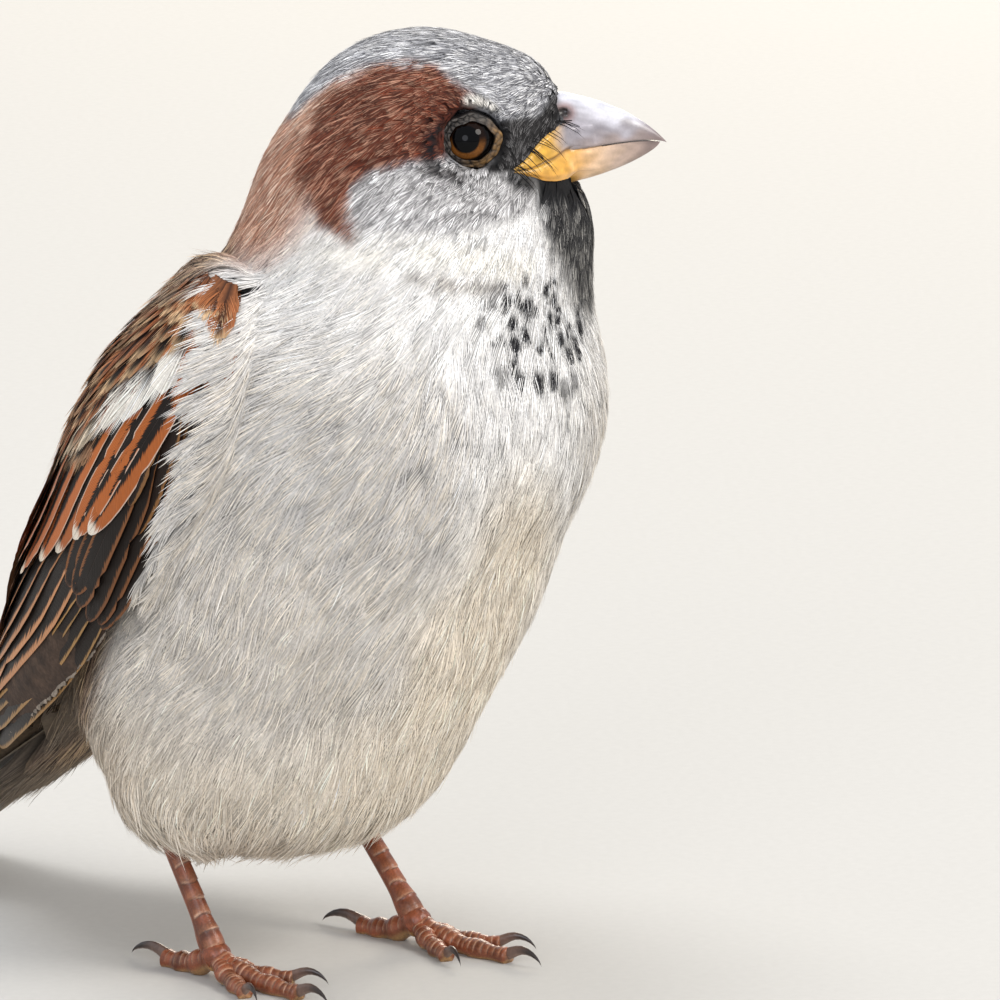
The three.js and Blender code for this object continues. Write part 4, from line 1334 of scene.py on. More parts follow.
def make_wing(name, side):
    """One folded wing: a dark bed, closed feathers in rows and soft coverts."""
    rng = np.random.default_rng(31)
    sheet = WingSheet(name, side)
    vanes = Vanes(7)
    points, faces = shell_of((name,), 0.0, 0.65, 1)
    shape = Surface(points, faces)
    inset = 0.35 + 0.5 * smooth(34, 72, points[:, 2])
    bed = array_mesh(name.replace("wing", "wing_bed"), points - shape.corner_normals * inset[:, None], faces)
    # Painted shade: the bed is dark brown, and a darker rufous at the shoulder, as the shadowed gaps between
    # the wing feathers; its inner side takes the grey-brown of the underwing.
    dark = linear("#43342a")
    front = 0.7 * smooth(62, 76, points[:, 2])
    tint = blend(dark, 0.7 * colours().rufous, front[:, None])
    inner = smooth(0.1, -0.35, shape.corner_normals[:, 0] * side)
    tint = toward(tint, "#8b7f72", inner)
    paint(bed, "Tint", tint * np.exp(0.2 * ripple(points, 2, 6))[:, None])
    add_piece(bed, finish("Skin under down"), (name,))
    for row in wing_rows():
        kind, count, root_a, root_b, tips, widths, lifts = row[:7]
        edge, centre, tip, plan, roundness, outer = row[7:]
        for i in range(count):
            x = i / (count - 1)
            end = bent_line(tips, x) if len(tips) > 2 else blend(np.array(tips[0]), np.array(tips[1]), x)
            start = blend(np.array(root_a), np.array(root_b), x)
            end = end + rng.normal(0, 0.004, 2)
            rise = 0.03 * i
            shaft = sheet.shaft(start, end, (lifts[0] + 0.5 * rise, lifts[1] + rise))
            tip_colour = tip
            if kind == "greater_coverts":
                tip_colour = blend(tip, colours().buff, 0.3 + 0.5 * x)
            width = blend(*widths, x) * rng.uniform(0.95, 1.05)
            vanes.add(shaft, width, varied(edge, rng, 0.14), varied(centre, rng),
                      varied(tip_colour, rng, 0.04), plan, rng, roundness, outer, bow=0.02, notches=2,
                      base=0.85 if kind == "greater_coverts" else 0.35)
    vanes.make(name.replace("wing", "wing_vanes"), "wing_feathers", (name,))
    make_wing_plumes(name, sheet)


# ---------- mantle and scapulars ----------
def make_mantle():
    rng = np.random.default_rng(41)
    surface = dress()
    c = colours()
    wings = node_surface(PLATES[:2])

    def keep(points, normals):
        height, behind = points[:, 2], behind_spine(points)
        clear = (wings.gap(points) > 2.0 + 3 * smooth(72, 62, height)) | (height > 69)
        on_top = (on_back(points) > 0.35) & (normals[:, 1] > -0.25)
        return clear & on_top & (behind > 6) & (height > 55)

    roots, normals = surface.scatter(2.7, rng, keep)
    lengths = rng.uniform(10, 12.5, len(roots))
    high = rng.uniform(0.8, 1.2, len(roots)) * np.interp(np.abs(roots[:, 0]), (6, 14), (2.2, 1.5))

    def lift(share):
        return blend(0.3, high, 1 - (1 - share) ** 1.6)

    shafts = lay_shafts(surface, roots, lengths, lift, rng.normal(0, 0.07, len(roots)), 7)
    outer = smooth(5, 13, np.abs(roots[:, 0]))
    rose, cocoa = linear("#c08a66"), linear("#33231a")
    dulls = smooth(71, 62, roots[:, 2] + rng.normal(0, 1.5, len(roots)))
    plans = []
    for share, dull in zip(outer, dulls):
        edge = blend(blend(c.buff * 0.75, rose, 0.5), c.rufous, (0.25 + 0.6 * share) * rng.random())
        heart = blend(c.dusk, cocoa, rng.uniform(0, 0.6))
        tip = blend(c.buff, rose, 0.5)
        edge, tip = blend(edge, c.rump, dull), blend(tip, c.rump, dull)
        heart = blend(heart, 0.6 * c.rump, dull)
        plans.append((varied(edge, rng, 0.12), varied(heart, rng), varied(tip, rng),
                      (rng.uniform(0.22, 0.4) + 0.15 * share, 0.1, 0.3)))
    coat, tone = Coat(), plume_tone(plans)
    width = rng.uniform(2.0, 2.5, len(roots))
    # Painted shade: the beds are painted at 0.7 of the feather colours, and the barbs at 0.7 toward the root.
    add_beds(coat, shafts, rng, width, tone, sink=0.1, shade=0.7)
    add_barbs(coat, shafts, rng, width, 0.22, 0.13, tone, wave=0.04, lift=0.08, base=0.7, level_jitter=0.12)
    coat.make("mantle", "Down barbs", "plumage")


# ---------- tail ----------
TAIL_HALF_WIDTH = 9.4  # at its end, in mm
TAIL_NOTCH = 2.4


def make_tail():
    """Twelve tail feathers, seen from above and from below, over a closed bed."""
    rng = np.random.default_rng(51)
    vanes = Vanes(5)
    brown, edge, grey, pale = (linear(code) for code in ("#3a2c1e", "#8d7354", "#54483b", "#8f8271"))
    share = np.linspace(0, 1, 9)
    for rank in (5.5, 4.5, 3.5, 2.5, 1.5, 0.5):  # from the outermost feathers in
        for sign in (-1, 1):
            fan = sign * rank / 5.5
            length = TAIL_LENGTH - TAIL_NOTCH * (1 - abs(fan)) - 0.6
            start = TAIL_ROOT + np.array((fan * 3.0, 0, 0))
            spread = fan * (TAIL_HALF_WIDTH - 2.3)
            points = start + TAIL_AHEAD * (length * share)[:, None]
            points[:, 0] = blend(fan * 3.0, spread, share)
            height = 1.05 - 0.13 * rank + 0.02 * sign - 0.25 * share
            points = points + TAIL_BACK * height[:, None]
            sides = np.repeat(np.array((1.0, 0, 0))[None], 9, axis=0)
            normals = np.repeat(TAIL_BACK[None], 9, axis=0)
            vanes.add((points, sides, normals), 2.5, varied(edge, rng), varied(brown, rng),
                      varied(edge, rng), (0.86, 0.015, 0.05), rng, 0.9, 1.0, bow=0.015, notches=2)
            low = start + TAIL_AHEAD * (length * share)[:, None] - TAIL_BACK * (0.46 + 0.06 * rank)
            low[:, 0] = points[:, 0]
            vanes.add((low, -sides, -normals), 2.3, varied(pale, rng), varied(grey, rng), varied(pale, rng),
                      (0.8, 0.015, 0.05), rng, 0.9, 1.0, bow=0.015)
    vanes.make("tail_vanes", "tail_feathers", ("tail",))
    points, faces = shell_of(("tail",), 0.0, 0.5, 1)
    shape = Surface(points, faces)
    along = (points - TAIL_ROOT) @ TAIL_AHEAD / TAIL_LENGTH
    inset = 0.3 + 1.4 * smooth(0.5, 0.2, along)
    shorter = 3.2 * smooth(0.75, 1.0, along)
    points = points - shape.corner_normals * inset[:, None] - TAIL_AHEAD * shorter[:, None]
    bed = array_mesh("tail_bed", points, faces)
    paint(bed, "Tint", plain("#4d3f2f", len(points)))
    add_piece(bed, finish("Skin under down"), ("tail",))


# ---------- bill ----------
BILL_TIP, BILL_ROOT = 27.0, 8.5
CULMEN_RISE, GONYS_DROP, BILL_HALF_WIDTH = 7.2, 4.3, 3.9
LOWER_SHORTFALL = 0.8
NOSTRIL = (15.2, 1.3)  # forward and up in the head


def nostril_gap(q):
    """Distance in mm from the middle of the nostril on that side, which is longer than it is high."""
    return np.hypot((q[:, 0] - NOSTRIL[0]) * 0.8, q[:, 2] - NOSTRIL[1])


def gape_height(f):
    """Height of the line between the halves of the bill."""
    back = (BILL_TIP - f) / (BILL_TIP - BILL_ROOT)
    return -1.7 - 2.2 * np.maximum(back, 0) ** 1.2 - 0.8 * (1 - back) ** 10


def bill_colours(q, upper):
    """Horn colours by place in the head's frame: yellow at the gape, a painted highlight along the ridge,
    dusky tip.
    """
    f, side, up = q[:, 0], np.abs(q[:, 1]), q[:, 2]
    over = up - gape_height(f)
    cloud = ripple(q * (0.6, 1.2, 1.2), 1.8, 21)
    if upper:
        colour, gap, beside = plain("#9b959b", len(q)), nostril_gap(q), smooth(0.8, 1.6, side)
        layers = (
            # Painted highlight: pale blue-white along the top of the ridge.
            ("#cfced6", smooth(2.9, 0.8, side) * smooth(1.0, 3.0, over + 0.5 * cloud)),
            ("#a08a7e", 0.6 * smooth(1.5, 0.2, over + 0.3 * cloud) * smooth(15, 19, f)),
            ("#6d5c5a", 0.75 * smooth(22.0, 26.5, f + 0.4 * cloud)),
            ("#dba43a", smooth(16.6, 13.6, f + 1.0 * over + 0.4 * cloud)),
            ("#7c4a3a", 0.7 * smooth(1.5, 0.6, gap) * beside),
            ("#1d100d", smooth(0.8, 0.45, gap) * beside),
        )
    else:
        colour = plain("#dbbb9c", len(q))
        layers = (
            ("#a28f88", 0.7 * smooth(19.0, 22.5, f + 0.5 * cloud)),
            ("#dfa443", smooth(20.6, 14.8, f + 0.6 * cloud)),
            ("#6f6061", 0.75 * smooth(21.5, 25.5, f)),
        )
    for code, share in layers:
        colour = toward(colour, code, share)
    growth = ripple(q * (0.35, 1.6, 1.6), 0.9, 22)
    return colour * np.exp(0.1 * cloud + 0.07 * growth)[:, None]


def make_bill():
    for upper in (True, False):
        tip = BILL_TIP if upper else BILL_TIP - LOWER_SHORTFALL
        sign = 1 if upper else -1

        def place(u, v):
            f = blend(BILL_ROOT, tip, 1 - (1 - v) ** 1.35)
            t = (f - BILL_ROOT) / (tip - BILL_ROOT)
            taper = np.maximum(1 - t**1.9 if upper else (1 - t**3) ** 0.7, 0.0)
            width = BILL_HALF_WIDTH * np.maximum(1 - t**1.7, 0.0)
            height = (CULMEN_RISE if upper else GONYS_DROP) * taper
            arch = np.clip(u / 0.8, 0, 1)
            angle = math.pi * arch
            over = u > 0.8
            under = (u - 0.8) / 0.2
            across = np.where(over, blend(-width, width, under), width * np.cos(angle))
            rise = np.where(over, 0.0, np.sin(angle) ** 0.85 * height)
            # the cutting edges stand a little proud of the mouth between them
            rise = rise + np.where(over, 0.35 * np.sin(math.pi * np.clip(under, 0, 1)) * (1 - t), 0)
            end = smooth(0.0, 0.02, v)
            level = gape_height(f) - (0.0 if upper else 0.16)
            side = np.sign(across)
            q = np.stack((f, across * end, level + sign * rise * end), axis=1)
            if upper:
                hole = nostril_gap(q) * 1.1
                q[:, 1] -= side * 0.5 * smooth(0.75, 0.2, hole) * (np.abs(q[:, 1]) > 0.8)
                ridge = np.exp(-((across / 0.55) ** 2)) * (rise > 0.6 * height)
                q[:, 2] += 0.1 * ridge * smooth(1.0, 0.8, t)
            return q @ HEAD_AXES + HEAD

        name = "upper" if upper else "lower"
        mesh, _, points = formed(f"bill_horn_{name}", 80, 60, place)
        paint(mesh, "Tint", bill_colours(to_head(points), upper))
        add_piece(mesh, finish("Bill horn"), (f"bill_{name}",))


# The gape's borders from the bill back to the corner of the mouth: forward, sideways and up in the head.
GAPE_TOP = (
    (19.2, 2.5, 0.3), (17.2, 3.1, 0.3), (15.1, 3.9, 0.5), (14.3, 4.8, 0.1), (13.2, 5.9, -0.5),
    (12.2, 6.9, -1.5), (11.3, 7.7, -2.6), (10.3, 8.5, -3.4), (9.3, 9.2, -4.0),
)
GAPE_LOW = (
    (20.2, 1.9, -5.6), (18.2, 2.6, -6.1), (16.4, 3.9, -5.9), (14.8, 5.6, -5.9), (13.7, 6.7, -5.7),
    (12.9, 7.2, -5.5), (12.1, 7.7, -5.1), (10.8, 8.6, -4.7), (9.3, 9.2, -4.3),
)


def mouth_line(u):
    """Where the mouth runs between the gape's two borders."""
    return np.interp(u, (0, 0.2, 0.45), (0.47, 0.48, 0.57))


def make_gape():
    """The soft yellow skin that joins the bill to the face, with the mouth's groove along it."""
    outer = Surface(*shell_of(("head", "bill_upper", "bill_lower"), 0.0, 0.3, 7))
    halves = [bpy.data.objects[f"bill_horn_{half}"] for half in ("upper", "lower")]
    (high, over), (low, under) = (read_mesh(half.data) for half in halves)
    horn_form = Surface(np.concatenate((high, low)), np.concatenate((over, under + len(high))))
    for name, side in SIDES.items():

        def place(u, v):
            q = blend(bent_line(GAPE_TOP, u), bent_line(GAPE_LOW, u), v[:, None]) * (1, side, 1)
            places = q @ HEAD_AXES + HEAD
            ahead = smooth(16.0, 17.6, q[:, 0])
            (points, normals), (on_horn, off_horn) = outer.snap(places), horn_form.snap(places)
            points = blend(points, on_horn, ahead[:, None])
            normals = unit(blend(normals, off_horn, ahead[:, None]))
            mouth = mouth_line(u)
            lips = np.abs(np.sin(math.pi * np.where(v < mouth, v / mouth, (1 - v) / (1 - mouth))))
            groove = np.exp(-(((v - mouth) / 0.035) ** 2))
            edge = smooth(0.0, 0.12, v) * smooth(1.0, 0.88, v) * smooth(1.0, 0.93, u)
            soft = 0.16 * lips**0.7 - 0.22 * groove - 0.4 * (1 - edge)
            rim = smooth(0.0, 0.05, u) * smooth(0.0, 0.05, v) * smooth(1.0, 0.95, v)
            lift = blend(soft, blend(-0.1, 0.04, rim) - 0.12 * groove, ahead)
            return points + normals * lift[:, None]

        mesh, grid, points = formed(f"gape_{name}", 48, 40, place, close=False)
        q = to_head(points)
        mouth = mouth_line(grid[:, 0])
        above = (grid[:, 1] < mouth)[:, None]
        horn = np.where(above, bill_colours(q, True), bill_colours(q, False))
        tint = toward(linear("#dba63c"), "#d99c42", smooth(0.6, 1.0, grid[:, 1]))
        tint = blend(tint, horn, smooth(13.2, 15.8, q[:, 0])[:, None])
        tint = toward(tint, "#8a6a2a", 0.7 * smooth(0.72, 1.0, grid[:, 0]))
        seam = np.exp(-(((grid[:, 1] - mouth) / 0.03) ** 2)) * 0.75
        tint = toward(tint, "#4d3018", seam)
        paint(mesh, "Tint", tint * np.exp(0.1 * ripple(points, 0.8, 4))[:, None])
        add_piece(mesh, finish("Bill horn"))


def make_bristles():
    """Fine stiff bristles that reach forward from the lores over the base of the bill."""
    rng = np.random.default_rng(61)
    coat = Coat()
    for side in SIDES.values():
        count = 34
        along = rng.uniform(0.08, 0.95, count)
        q = bent_line(GAPE_TOP, along) + (-0.7, 0.3, 0.35)
        root, normal = SURFACES["dress solids"].snap(q * (1, side, 1) @ HEAD_AXES + HEAD)
        fan = blend(-0.05, -1.1, along) + rng.normal(0, 0.22, count)
        way = FORWARD + UP * fan[:, None] - LEFT * side * 0.25
        way = unit(way - normal * (way * normal).sum(axis=1, keepdims=True) * 0.85)
        length = rng.uniform(2.0, 5.0, count)[:, None]
        share = np.array((0, 0.35, 0.7, 1.0))
        line = root[:, None] - 0.5 * normal[:, None] + way[:, None] * (length * share)[..., None]
        line = line + (normal * 1.0)[:, None] * np.sin(share * 2.0)[None, :, None]
        line = line - UP * (0.6 * share**2)[None, :, None]
        flat = unit(np.cross(way, normal + 0.2 * rng.normal(size=normal.shape)))
        half = flat[:, None] * (0.055 * np.array((1.1, 0.9, 0.6, 0.1)))[None, :, None]
        pairs = np.stack((line - half, line + half), axis=2)[:, :-1].reshape(count, -1, 3)
        strips = np.concatenate((pairs, line[:, -1:]), axis=1)
        tint = np.broadcast_to(linear("#0d0b0d"), strips.shape)
        maps = np.repeat(skin_map(root)[:, None], strips.shape[1], axis=1)
        coat.add(strips, ribbon_faces(3), tint, maps)
    coat.make("bristles", "Down barbs", "plumage")


# ---------- eyes ----------
EYE_RADIUS = 2.9
LID_OPENING = (2.5, 2.15)  # half-length and half-height of the opening, in mm
LID_OUTER = (3.6, 3.2)


def eye_axes(side):
    """Out of the eye, forward along the lids and up across them."""
    out = unit(LEFT * side + FORWARD * 0.16 + UP * 0.06)
    ahead = unit(FORWARD - out * (FORWARD @ out))
    above = unit(UP - out * (UP @ out) - ahead * (UP @ ahead))
    return out, ahead, above


def lid_scales(turn, v):
    """Uneven scales round the eye: how far each place is inside its scale, and that scale's number.
    They are flat and soft behind the eye, and round beads in front of it."""
    rng = np.random.default_rng(71)
    rows = ((0.2, 17), (0.48, 20), (0.78, 21))
    seeds = []
    for k, (level, n) in enumerate(rows):
        turns = (np.arange(n) + 0.5 * k + rng.normal(0, 0.22, n)) / n
        seeds.append(np.stack((turns, level + rng.normal(0, 0.05, n)), axis=1))
    seeds = np.concatenate(seeds)
    gap_round = np.abs((turn / math.tau)[:, None] - seeds[None, :, 0] % 1)
    gap_round = np.minimum(gap_round, 1 - gap_round) * 19.5
    gap = np.hypot(gap_round, (v[:, None] - seeds[None, :, 1]) * 1.25 * 1.4)
    order = np.argsort(gap, axis=1)[:, :2]
    first, second = (np.take_along_axis(gap, order[:, k : k + 1], axis=1)[:, 0] for k in range(2))
    front = smooth(-0.6, 0.3, np.cos(turn) - 0.3 * np.sin(turn))
    plate = 0.3 + 0.7 * smooth(0.02, 0.35, second - first)
    return blend(plate, np.sqrt(np.clip(1 - (first / 0.58) ** 2, 0, 1)), front), order[:, 0]


def lid_fold(turn, v):
    """The crease that runs along the middle of the lids behind the eye."""
    away = v - 0.5 - 0.04 * np.sin(3 * turn)
    return np.exp(-((away / 0.07) ** 2)) * smooth(0.2, -0.6, np.cos(turn))


def make_eyes():
    """Eyes with a dark iris and a gloss, in lids of small scales."""
    for name, side in SIDES.items():
        middle = {"right": EYE_RIGHT, "left": EYE_LEFT}[name]
        out, ahead, above = eye_axes(side)
        gaze = unit(FORWARD * -0.28 + LEFT * side * 0.93 + UP * 0.23)
        gaze = unit(gaze + out * 0.6)
        first = unit(np.cross(gaze, UP))
        second = np.cross(first, gaze)
        pupil = math.asin(sizes().pupil / MM / 2 / EYE_RADIUS)

        def ball(u, v):
            polar = math.pi * v
            turn = math.tau * u
            bulge = EYE_RADIUS + 0.12 * smooth(0.9, 0.0, polar)
            line = gaze * np.cos(polar)[:, None] + (
                first * np.cos(turn)[:, None] + second * np.sin(turn)[:, None]) * np.sin(polar)[:, None]
            return middle + line * bulge[:, None]

        mesh, grid, points = formed(f"eyeball_{name}", 56, 96, ball)
        ray = unit(points - middle)
        polar = np.arccos(np.clip(ray @ gaze, -1, 1))
        # Painted light on the iris: amber only on its lower side, where light comes through the cornea; dark
        # brown elsewhere.
        low = smooth(0.25, -0.6, (ray @ second) / np.maximum(np.sin(polar), 0.05) * np.sign(second @ UP))
        iris = toward(linear("#160b07"), "#6f441c", low)
        tint = blend(linear("#030304"), iris, smooth(pupil - 0.02, pupil + 0.06, polar)[:, None])
        # Painted shade: near black toward the lids.
        tint = toward(tint, "#070505", smooth(0.78, 0.95, polar))
        paint(mesh, "Tint", tint)
        add_piece(mesh, finish("Wet eye"), (f"eye_{name}",))

        def lid(u, v):
            turn = math.tau * u
            cos, sin = np.cos(turn), np.sin(turn)
            x = blend(LID_OPENING[0], LID_OUTER[0], v) * cos * (1 + 0.04 * cos * np.abs(cos))
            y = blend(LID_OPENING[1], LID_OUTER[1], v) * sin
            wobble = 1 + 0.025 * np.sin(5 * turn + 1) + 0.02 * np.sin(9 * turn)
            x, y = x * wobble, y * wobble
            reach = np.sqrt(x**2 + y**2)
            dome = np.sqrt(np.maximum((EYE_RADIUS + 0.14) ** 2 - np.minimum(reach, 2.6) ** 2, 0.2))
            height = dome - 0.34 * np.maximum(reach - 2.6, 0)
            height = height - 0.9 * smooth(0.85, 1.0, v) - 0.5 * smooth(0.06, 0.0, v)
            scale, _ = lid_scales(turn, v)
            height = height - 0.14 * lid_fold(turn, v)
            height = height + 0.26 * scale * smooth(0.0, 0.12, v) * smooth(1.0, 0.88, v)
            return middle + ahead * x[:, None] + above * y[:, None] + out * height[:, None]

        mesh, grid, points = formed(f"eyelids_{name}", 300, 30, lid, close=True)
        turn, v = math.tau * grid[:, 0], grid[:, 1]
        scale, number = lid_scales(turn, v)
        rng = np.random.default_rng(72)
        pale = rng.uniform(0.0, 1.0, number.max() + 1)[number]
        warm = smooth(-0.2, 0.9, np.cos(turn) - 0.6 * np.sin(turn))
        high = smooth(0.3, 0.9, np.sin(turn) - 0.4 * np.cos(turn))
        flesh_tone = toward(linear("#393330"), "#6f665d", pale)
        flesh_tone = toward(flesh_tone, "#7d5a28", warm * (0.4 + 0.5 * pale))
        flesh_tone = toward(flesh_tone, "#3b3632", 0.75 * high)
        # Painted shade: near black in the hollows between the beads, in the fold behind the eye, and where
        # the lids tuck in at both edges.
        unshaded_share = scale**1.6 * (1 - 0.7 * lid_fold(turn, v))
        tint = blend(linear("#120f0e"), flesh_tone, unshaded_share[:, None])
        edge = (smooth(0.14, 0.0, v) + smooth(0.78, 0.95, v)).clip(0, 1)
        tint = toward(tint, "#141112", edge)
        paint(mesh, "Tint", tint * np.exp(0.2 * ripple(points, 0.6, 8))[:, None])
        add_piece(mesh, finish("Eye ring skin"))


# ---------- legs, toes and claws ----------
TOES = (
    # name, turn from straight ahead in degrees, length, radius at the base
    ("hind", 180, 8.6, 1.38),
    ("inner", -27, 9.6, 1.12),
    ("middle", 0, 14.4, 1.24),
    ("outer", 23, 10.4, 1.12),
)
TOE_TURN = {"right": 2, "left": 4}
CLAW_LENGTH = {"hind": 6.2, "inner": 4.2, "middle": 4.8, "outer": 4.2}
# Heights of the middle line over the floor, in mm, along each toe and each claw.
TOE_SHARES = (0, 0.12, 0.22, 0.36, 0.5, 0.64, 0.78, 1)
TOE_HEIGHTS = (2.5, 2.1, 1.7, 1.27, 0.98, 0.83, 0.77, 0.72)
CLAW_SHARES = (-0.1, 0, 0.15, 0.3, 0.46, 0.62, 0.75, 0.86, 0.94)
CLAW_HEIGHTS = (1.05, 1.25, 1.56, 1.75, 1.74, 1.55, 1.24, 0.85, 0.3)
TARSUS_RADIUS = 1.2
TARSUS_LENGTH = 19.5


def tube(path, size, front, squash=(1.0, 1.0)):
    """A tube's point maker: path(v) gives its middle line, size(v, angle) its radius in mm.
    The angle is 0 on the side that `front` faces. Both ends close to a point."""

    def place(u, v):
        middle = path(v)
        ahead = unit(path(np.minimum(v + 0.01, 1.0)) - path(np.maximum(v - 0.01, 0.0)))
        face = unit(front - ahead * (ahead @ front)[:, None])
        side = np.cross(ahead, face)
        angle = math.tau * (u - 0.5)
        r = size(v, angle) * smooth(0.0, 0.015, v) * smooth(1.0, 0.985, v)
        high, wide = np.cos(angle) * r * squash[0], np.sin(angle) * r * squash[1]
        return middle + face * high[:, None] + side * wide[:, None]

    return place


def on_floor(make):
    """A point maker whose points stay above the floor."""

    def place(u, v):
        points = make(u, v)
        points[:, 2] = np.maximum(points[:, 2], 0)
        return points

    return place


def scute_colours(v, angle, plates, points, sole):
    """Reddish-brown plates, each lighter toward its lower edge with a pale line there as a painted highlight,
    painted shade in the crease between plates, and paler pads beneath.
    """
    phase = (v * plates + 0.1 * ripple(points, 2.2, 16)) % 1
    front = smooth(-0.2, 0.35, np.cos(angle))
    highlight_patches = np.clip(0.5 + 0.5 * ripple(points, 1.6, 17), 0, 1)
    tint = linear("#7a4129") * np.exp(0.25 * ripple(points, 3.0, 18))[:, None]
    # Painted highlight: each plate is lighter where it stands out, with a pale line at its edge, in patches.
    tint = toward(tint, "#9c6a4c", 0.5 * smooth(0.3, 0.8, phase) * front)
    pale = smooth(0.8, 0.9, phase) * front * highlight_patches
    tint = toward(tint, "#c9a288", 0.8 * pale)
    # Painted shade in the crease between plates.
    crease = (smooth(0.93, 0.99, phase) + smooth(0.05, 0.0, phase)) * front
    tint = toward(tint, "#3e241c", 0.75 * crease.clip(0, 1))
    under = smooth(-0.25, -0.7, np.cos(angle))
    tint = blend(tint, linear(sole), (0.8 * under)[:, None])
    return tint * np.exp(0.12 * ripple(points, 1.1, 12))[:, None]


def toe_way(side_name, turn):
    """The level direction of a toe."""
    ahead = math.radians(SIDES[side_name] * (turn + TOE_TURN[side_name]))
    return np.array((math.sin(ahead), -math.cos(ahead), 0))


def joined(name, parts):
    """One mesh from meshes and the colours of their points."""
    bm = bmesh.new()
    for mesh, _ in parts:
        bm.from_mesh(mesh)
        bpy.data.meshes.remove(mesh)
    whole = bpy.data.meshes.new(name)
    bm.to_mesh(whole)
    bm.free()
    paint(whole, "Tint", np.concatenate([tint for _, tint in parts]))
    return whole


def make_shank(name):
    """One bare leg with plates down its front and fine grooves along its sides."""
    foot, line, plates = FEET[name], LEG_LINES[name], sizes().scutes
    forward = unit(np.cross(line, np.array((1.0, 0, 0))))
    forward = forward if forward[1] < 0 else -forward
    low, high = foot + 0.6 * line, foot + (TARSUS_LENGTH + 2) * line

    def shin(v):
        return blend(low, high, v[:, None]) + forward * (0.25 * np.sin(math.pi * v))[:, None]

    def girth(v, angle):
        phase = ((1 - v) * plates) % 1
        front = smooth(-0.2, 0.35, np.cos(angle))
        step = 0.1 * front * (phase - 0.5) - 0.12 * front * smooth(0.94, 1.0, phase)
        groove = 0.09 * np.exp(-(((np.abs(angle) - 1.75) / 0.12) ** 2))
        knob = 0.34 * np.exp(-(((v - 0.06) / 0.09) ** 2)) + 0.3 * np.exp(-(((v - 1) / 0.15) ** 2))
        return TARSUS_RADIUS * (1 + 0.06 * np.cos(2 * angle)) + step - groove + knob

    mesh, grid, points = formed("shin", 40, 150, tube(shin, girth, forward))
    angle = math.tau * (grid[:, 0] - 0.5)
    tint = scute_colours(1 - grid[:, 1], angle, plates, points, "#9b6a55")
    leg = joined(f"shank_{name}", [(mesh, tint)])
    add_piece(leg, finish("Leg scales"), (f"tarsus_{name}",))


def toe_line(name, turn, reach, height):
    """Places along a toe, given their reach from the foot and their height above the floor."""
    return FEET[name] * (1, 1, 0) + toe_way(name, turn) * reach[:, None] + UP * height[:, None]


def toe_skin(name, turn, length, radius):
    """One toe with plates on top and pads below: its mesh and its colours."""
    count = max(int(length / 0.85), 7)

    def path(v):
        height = np.interp(v, TOE_SHARES, TOE_HEIGHTS)
        return toe_line(name, turn, v * length, height)

    def girth(v, angle):
        pads = 1 + 0.13 * np.cos(3 * math.tau * v)
        phase = (v * count) % 1
        top = smooth(0.0, 0.5, np.cos(angle))
        plate = 0.09 * top * (phase - 0.5) - 0.1 * top * smooth(0.92, 1.0, phase)
        return radius * (1.12 - 0.32 * v) * pads + plate

    mesh, grid, points = formed("toe", 32, 96, on_floor(tube(path, girth, UP)))
    angle = math.tau * (grid[:, 0] - 0.5)
    return mesh, scute_colours(grid[:, 1], angle, count, points, "#b18a5c")


def make_talon(name, toe, turn, length, radius):
    """One curved claw, darker toward its tip."""
    claw_length = CLAW_LENGTH[toe]

    def path(v):
        reach = length - 0.25 + v * (0.94 * claw_length + 0.6)
        share = np.clip((reach - length - 0.35) / claw_length, -0.1, 0.94)
        return toe_line(name, turn, reach, np.interp(share, CLAW_SHARES, CLAW_HEIGHTS))

    def girth(v, angle):
        return radius * 0.62 * (1 - v) ** 0.62 * (1 + 0.12 * np.cos(angle)) - 0.06

    claw = on_floor(tube(path, girth, UP, (1.05, 0.72)))
    mesh, grid, points = formed(f"talon_{name}_{toe}", 24, 48, claw)
    tint = toward(linear("#6f574c"), "#2a201d", smooth(0.15, 0.7, grid[:, 1]))
    under = smooth(-0.2, -0.8, np.cos(math.tau * (grid[:, 0] - 0.5)))
    tint = toward(tint, "#8d7466", 0.5 * under)
    paint(mesh, "Tint", tint * np.exp(0.12 * ripple(points, 0.8, 14))[:, None])
    add_piece(mesh, finish("Claw horn"), (f"claw_{name}_{toe}",))


def heel_skin(name):
    """The ball that the toes grow from: its mesh and its colours."""

    def heel(u, v):
        turn, polar = math.tau * u, math.pi * v
        r = 1.72 * (1 + 0.03 * np.cos(9 * turn) * np.sin(7 * polar))
        ball = np.stack((np.cos(turn) * np.sin(polar), np.sin(turn) * np.sin(polar), np.cos(polar)), axis=1)
        return FEET[name] + ball * r[:, None] * (1, 1.05, 1)

    mesh, _, points = formed("heel", 40, 28, heel)
    tint = plain("#7a4129", len(points))
    return mesh, tint * np.exp(0.25 * ripple(points, 0.9, 15))[:, None]


def make_legs():
    for name in SIDES:
        make_shank(name)
        parts = []
        for toe, turn, length, radius in TOES:
            parts.append(toe_skin(name, turn, length, radius))
            make_talon(name, toe, turn, length, radius)
        parts.append(heel_skin(name))
        add_piece(joined(f"toes_{name}", parts), finish("Leg scales"), (f"foot_{name}",))


# ---------- stage ----------
CAMERA_AIM = np.array((14.97, -31.86, 54.55))
CAMERA_AZIMUTH, CAMERA_HEIGHT = math.radians(-45), math.radians(12)
CAMERA_DISTANCE = 1500.0
CAMERA_LENS = 469.8


def add_light(name, place, size, power, colour, aim):
    """A round soft light at a place in metres, turned toward the aim."""
    data = bpy.data.lights.new(name, "AREA")
    data.shape = "DISK"
    data.size = size
    data.energy = power
    data.color = tuple(linear(colour))
    lamp = bpy.data.objects.new(name, data)
    bpy.context.scene.collection.objects.link(lamp)
    lamp.location = place
    lamp.rotation_euler = (Vector(aim) - Vector(place)).to_track_quat("-Z", "Y").to_euler()


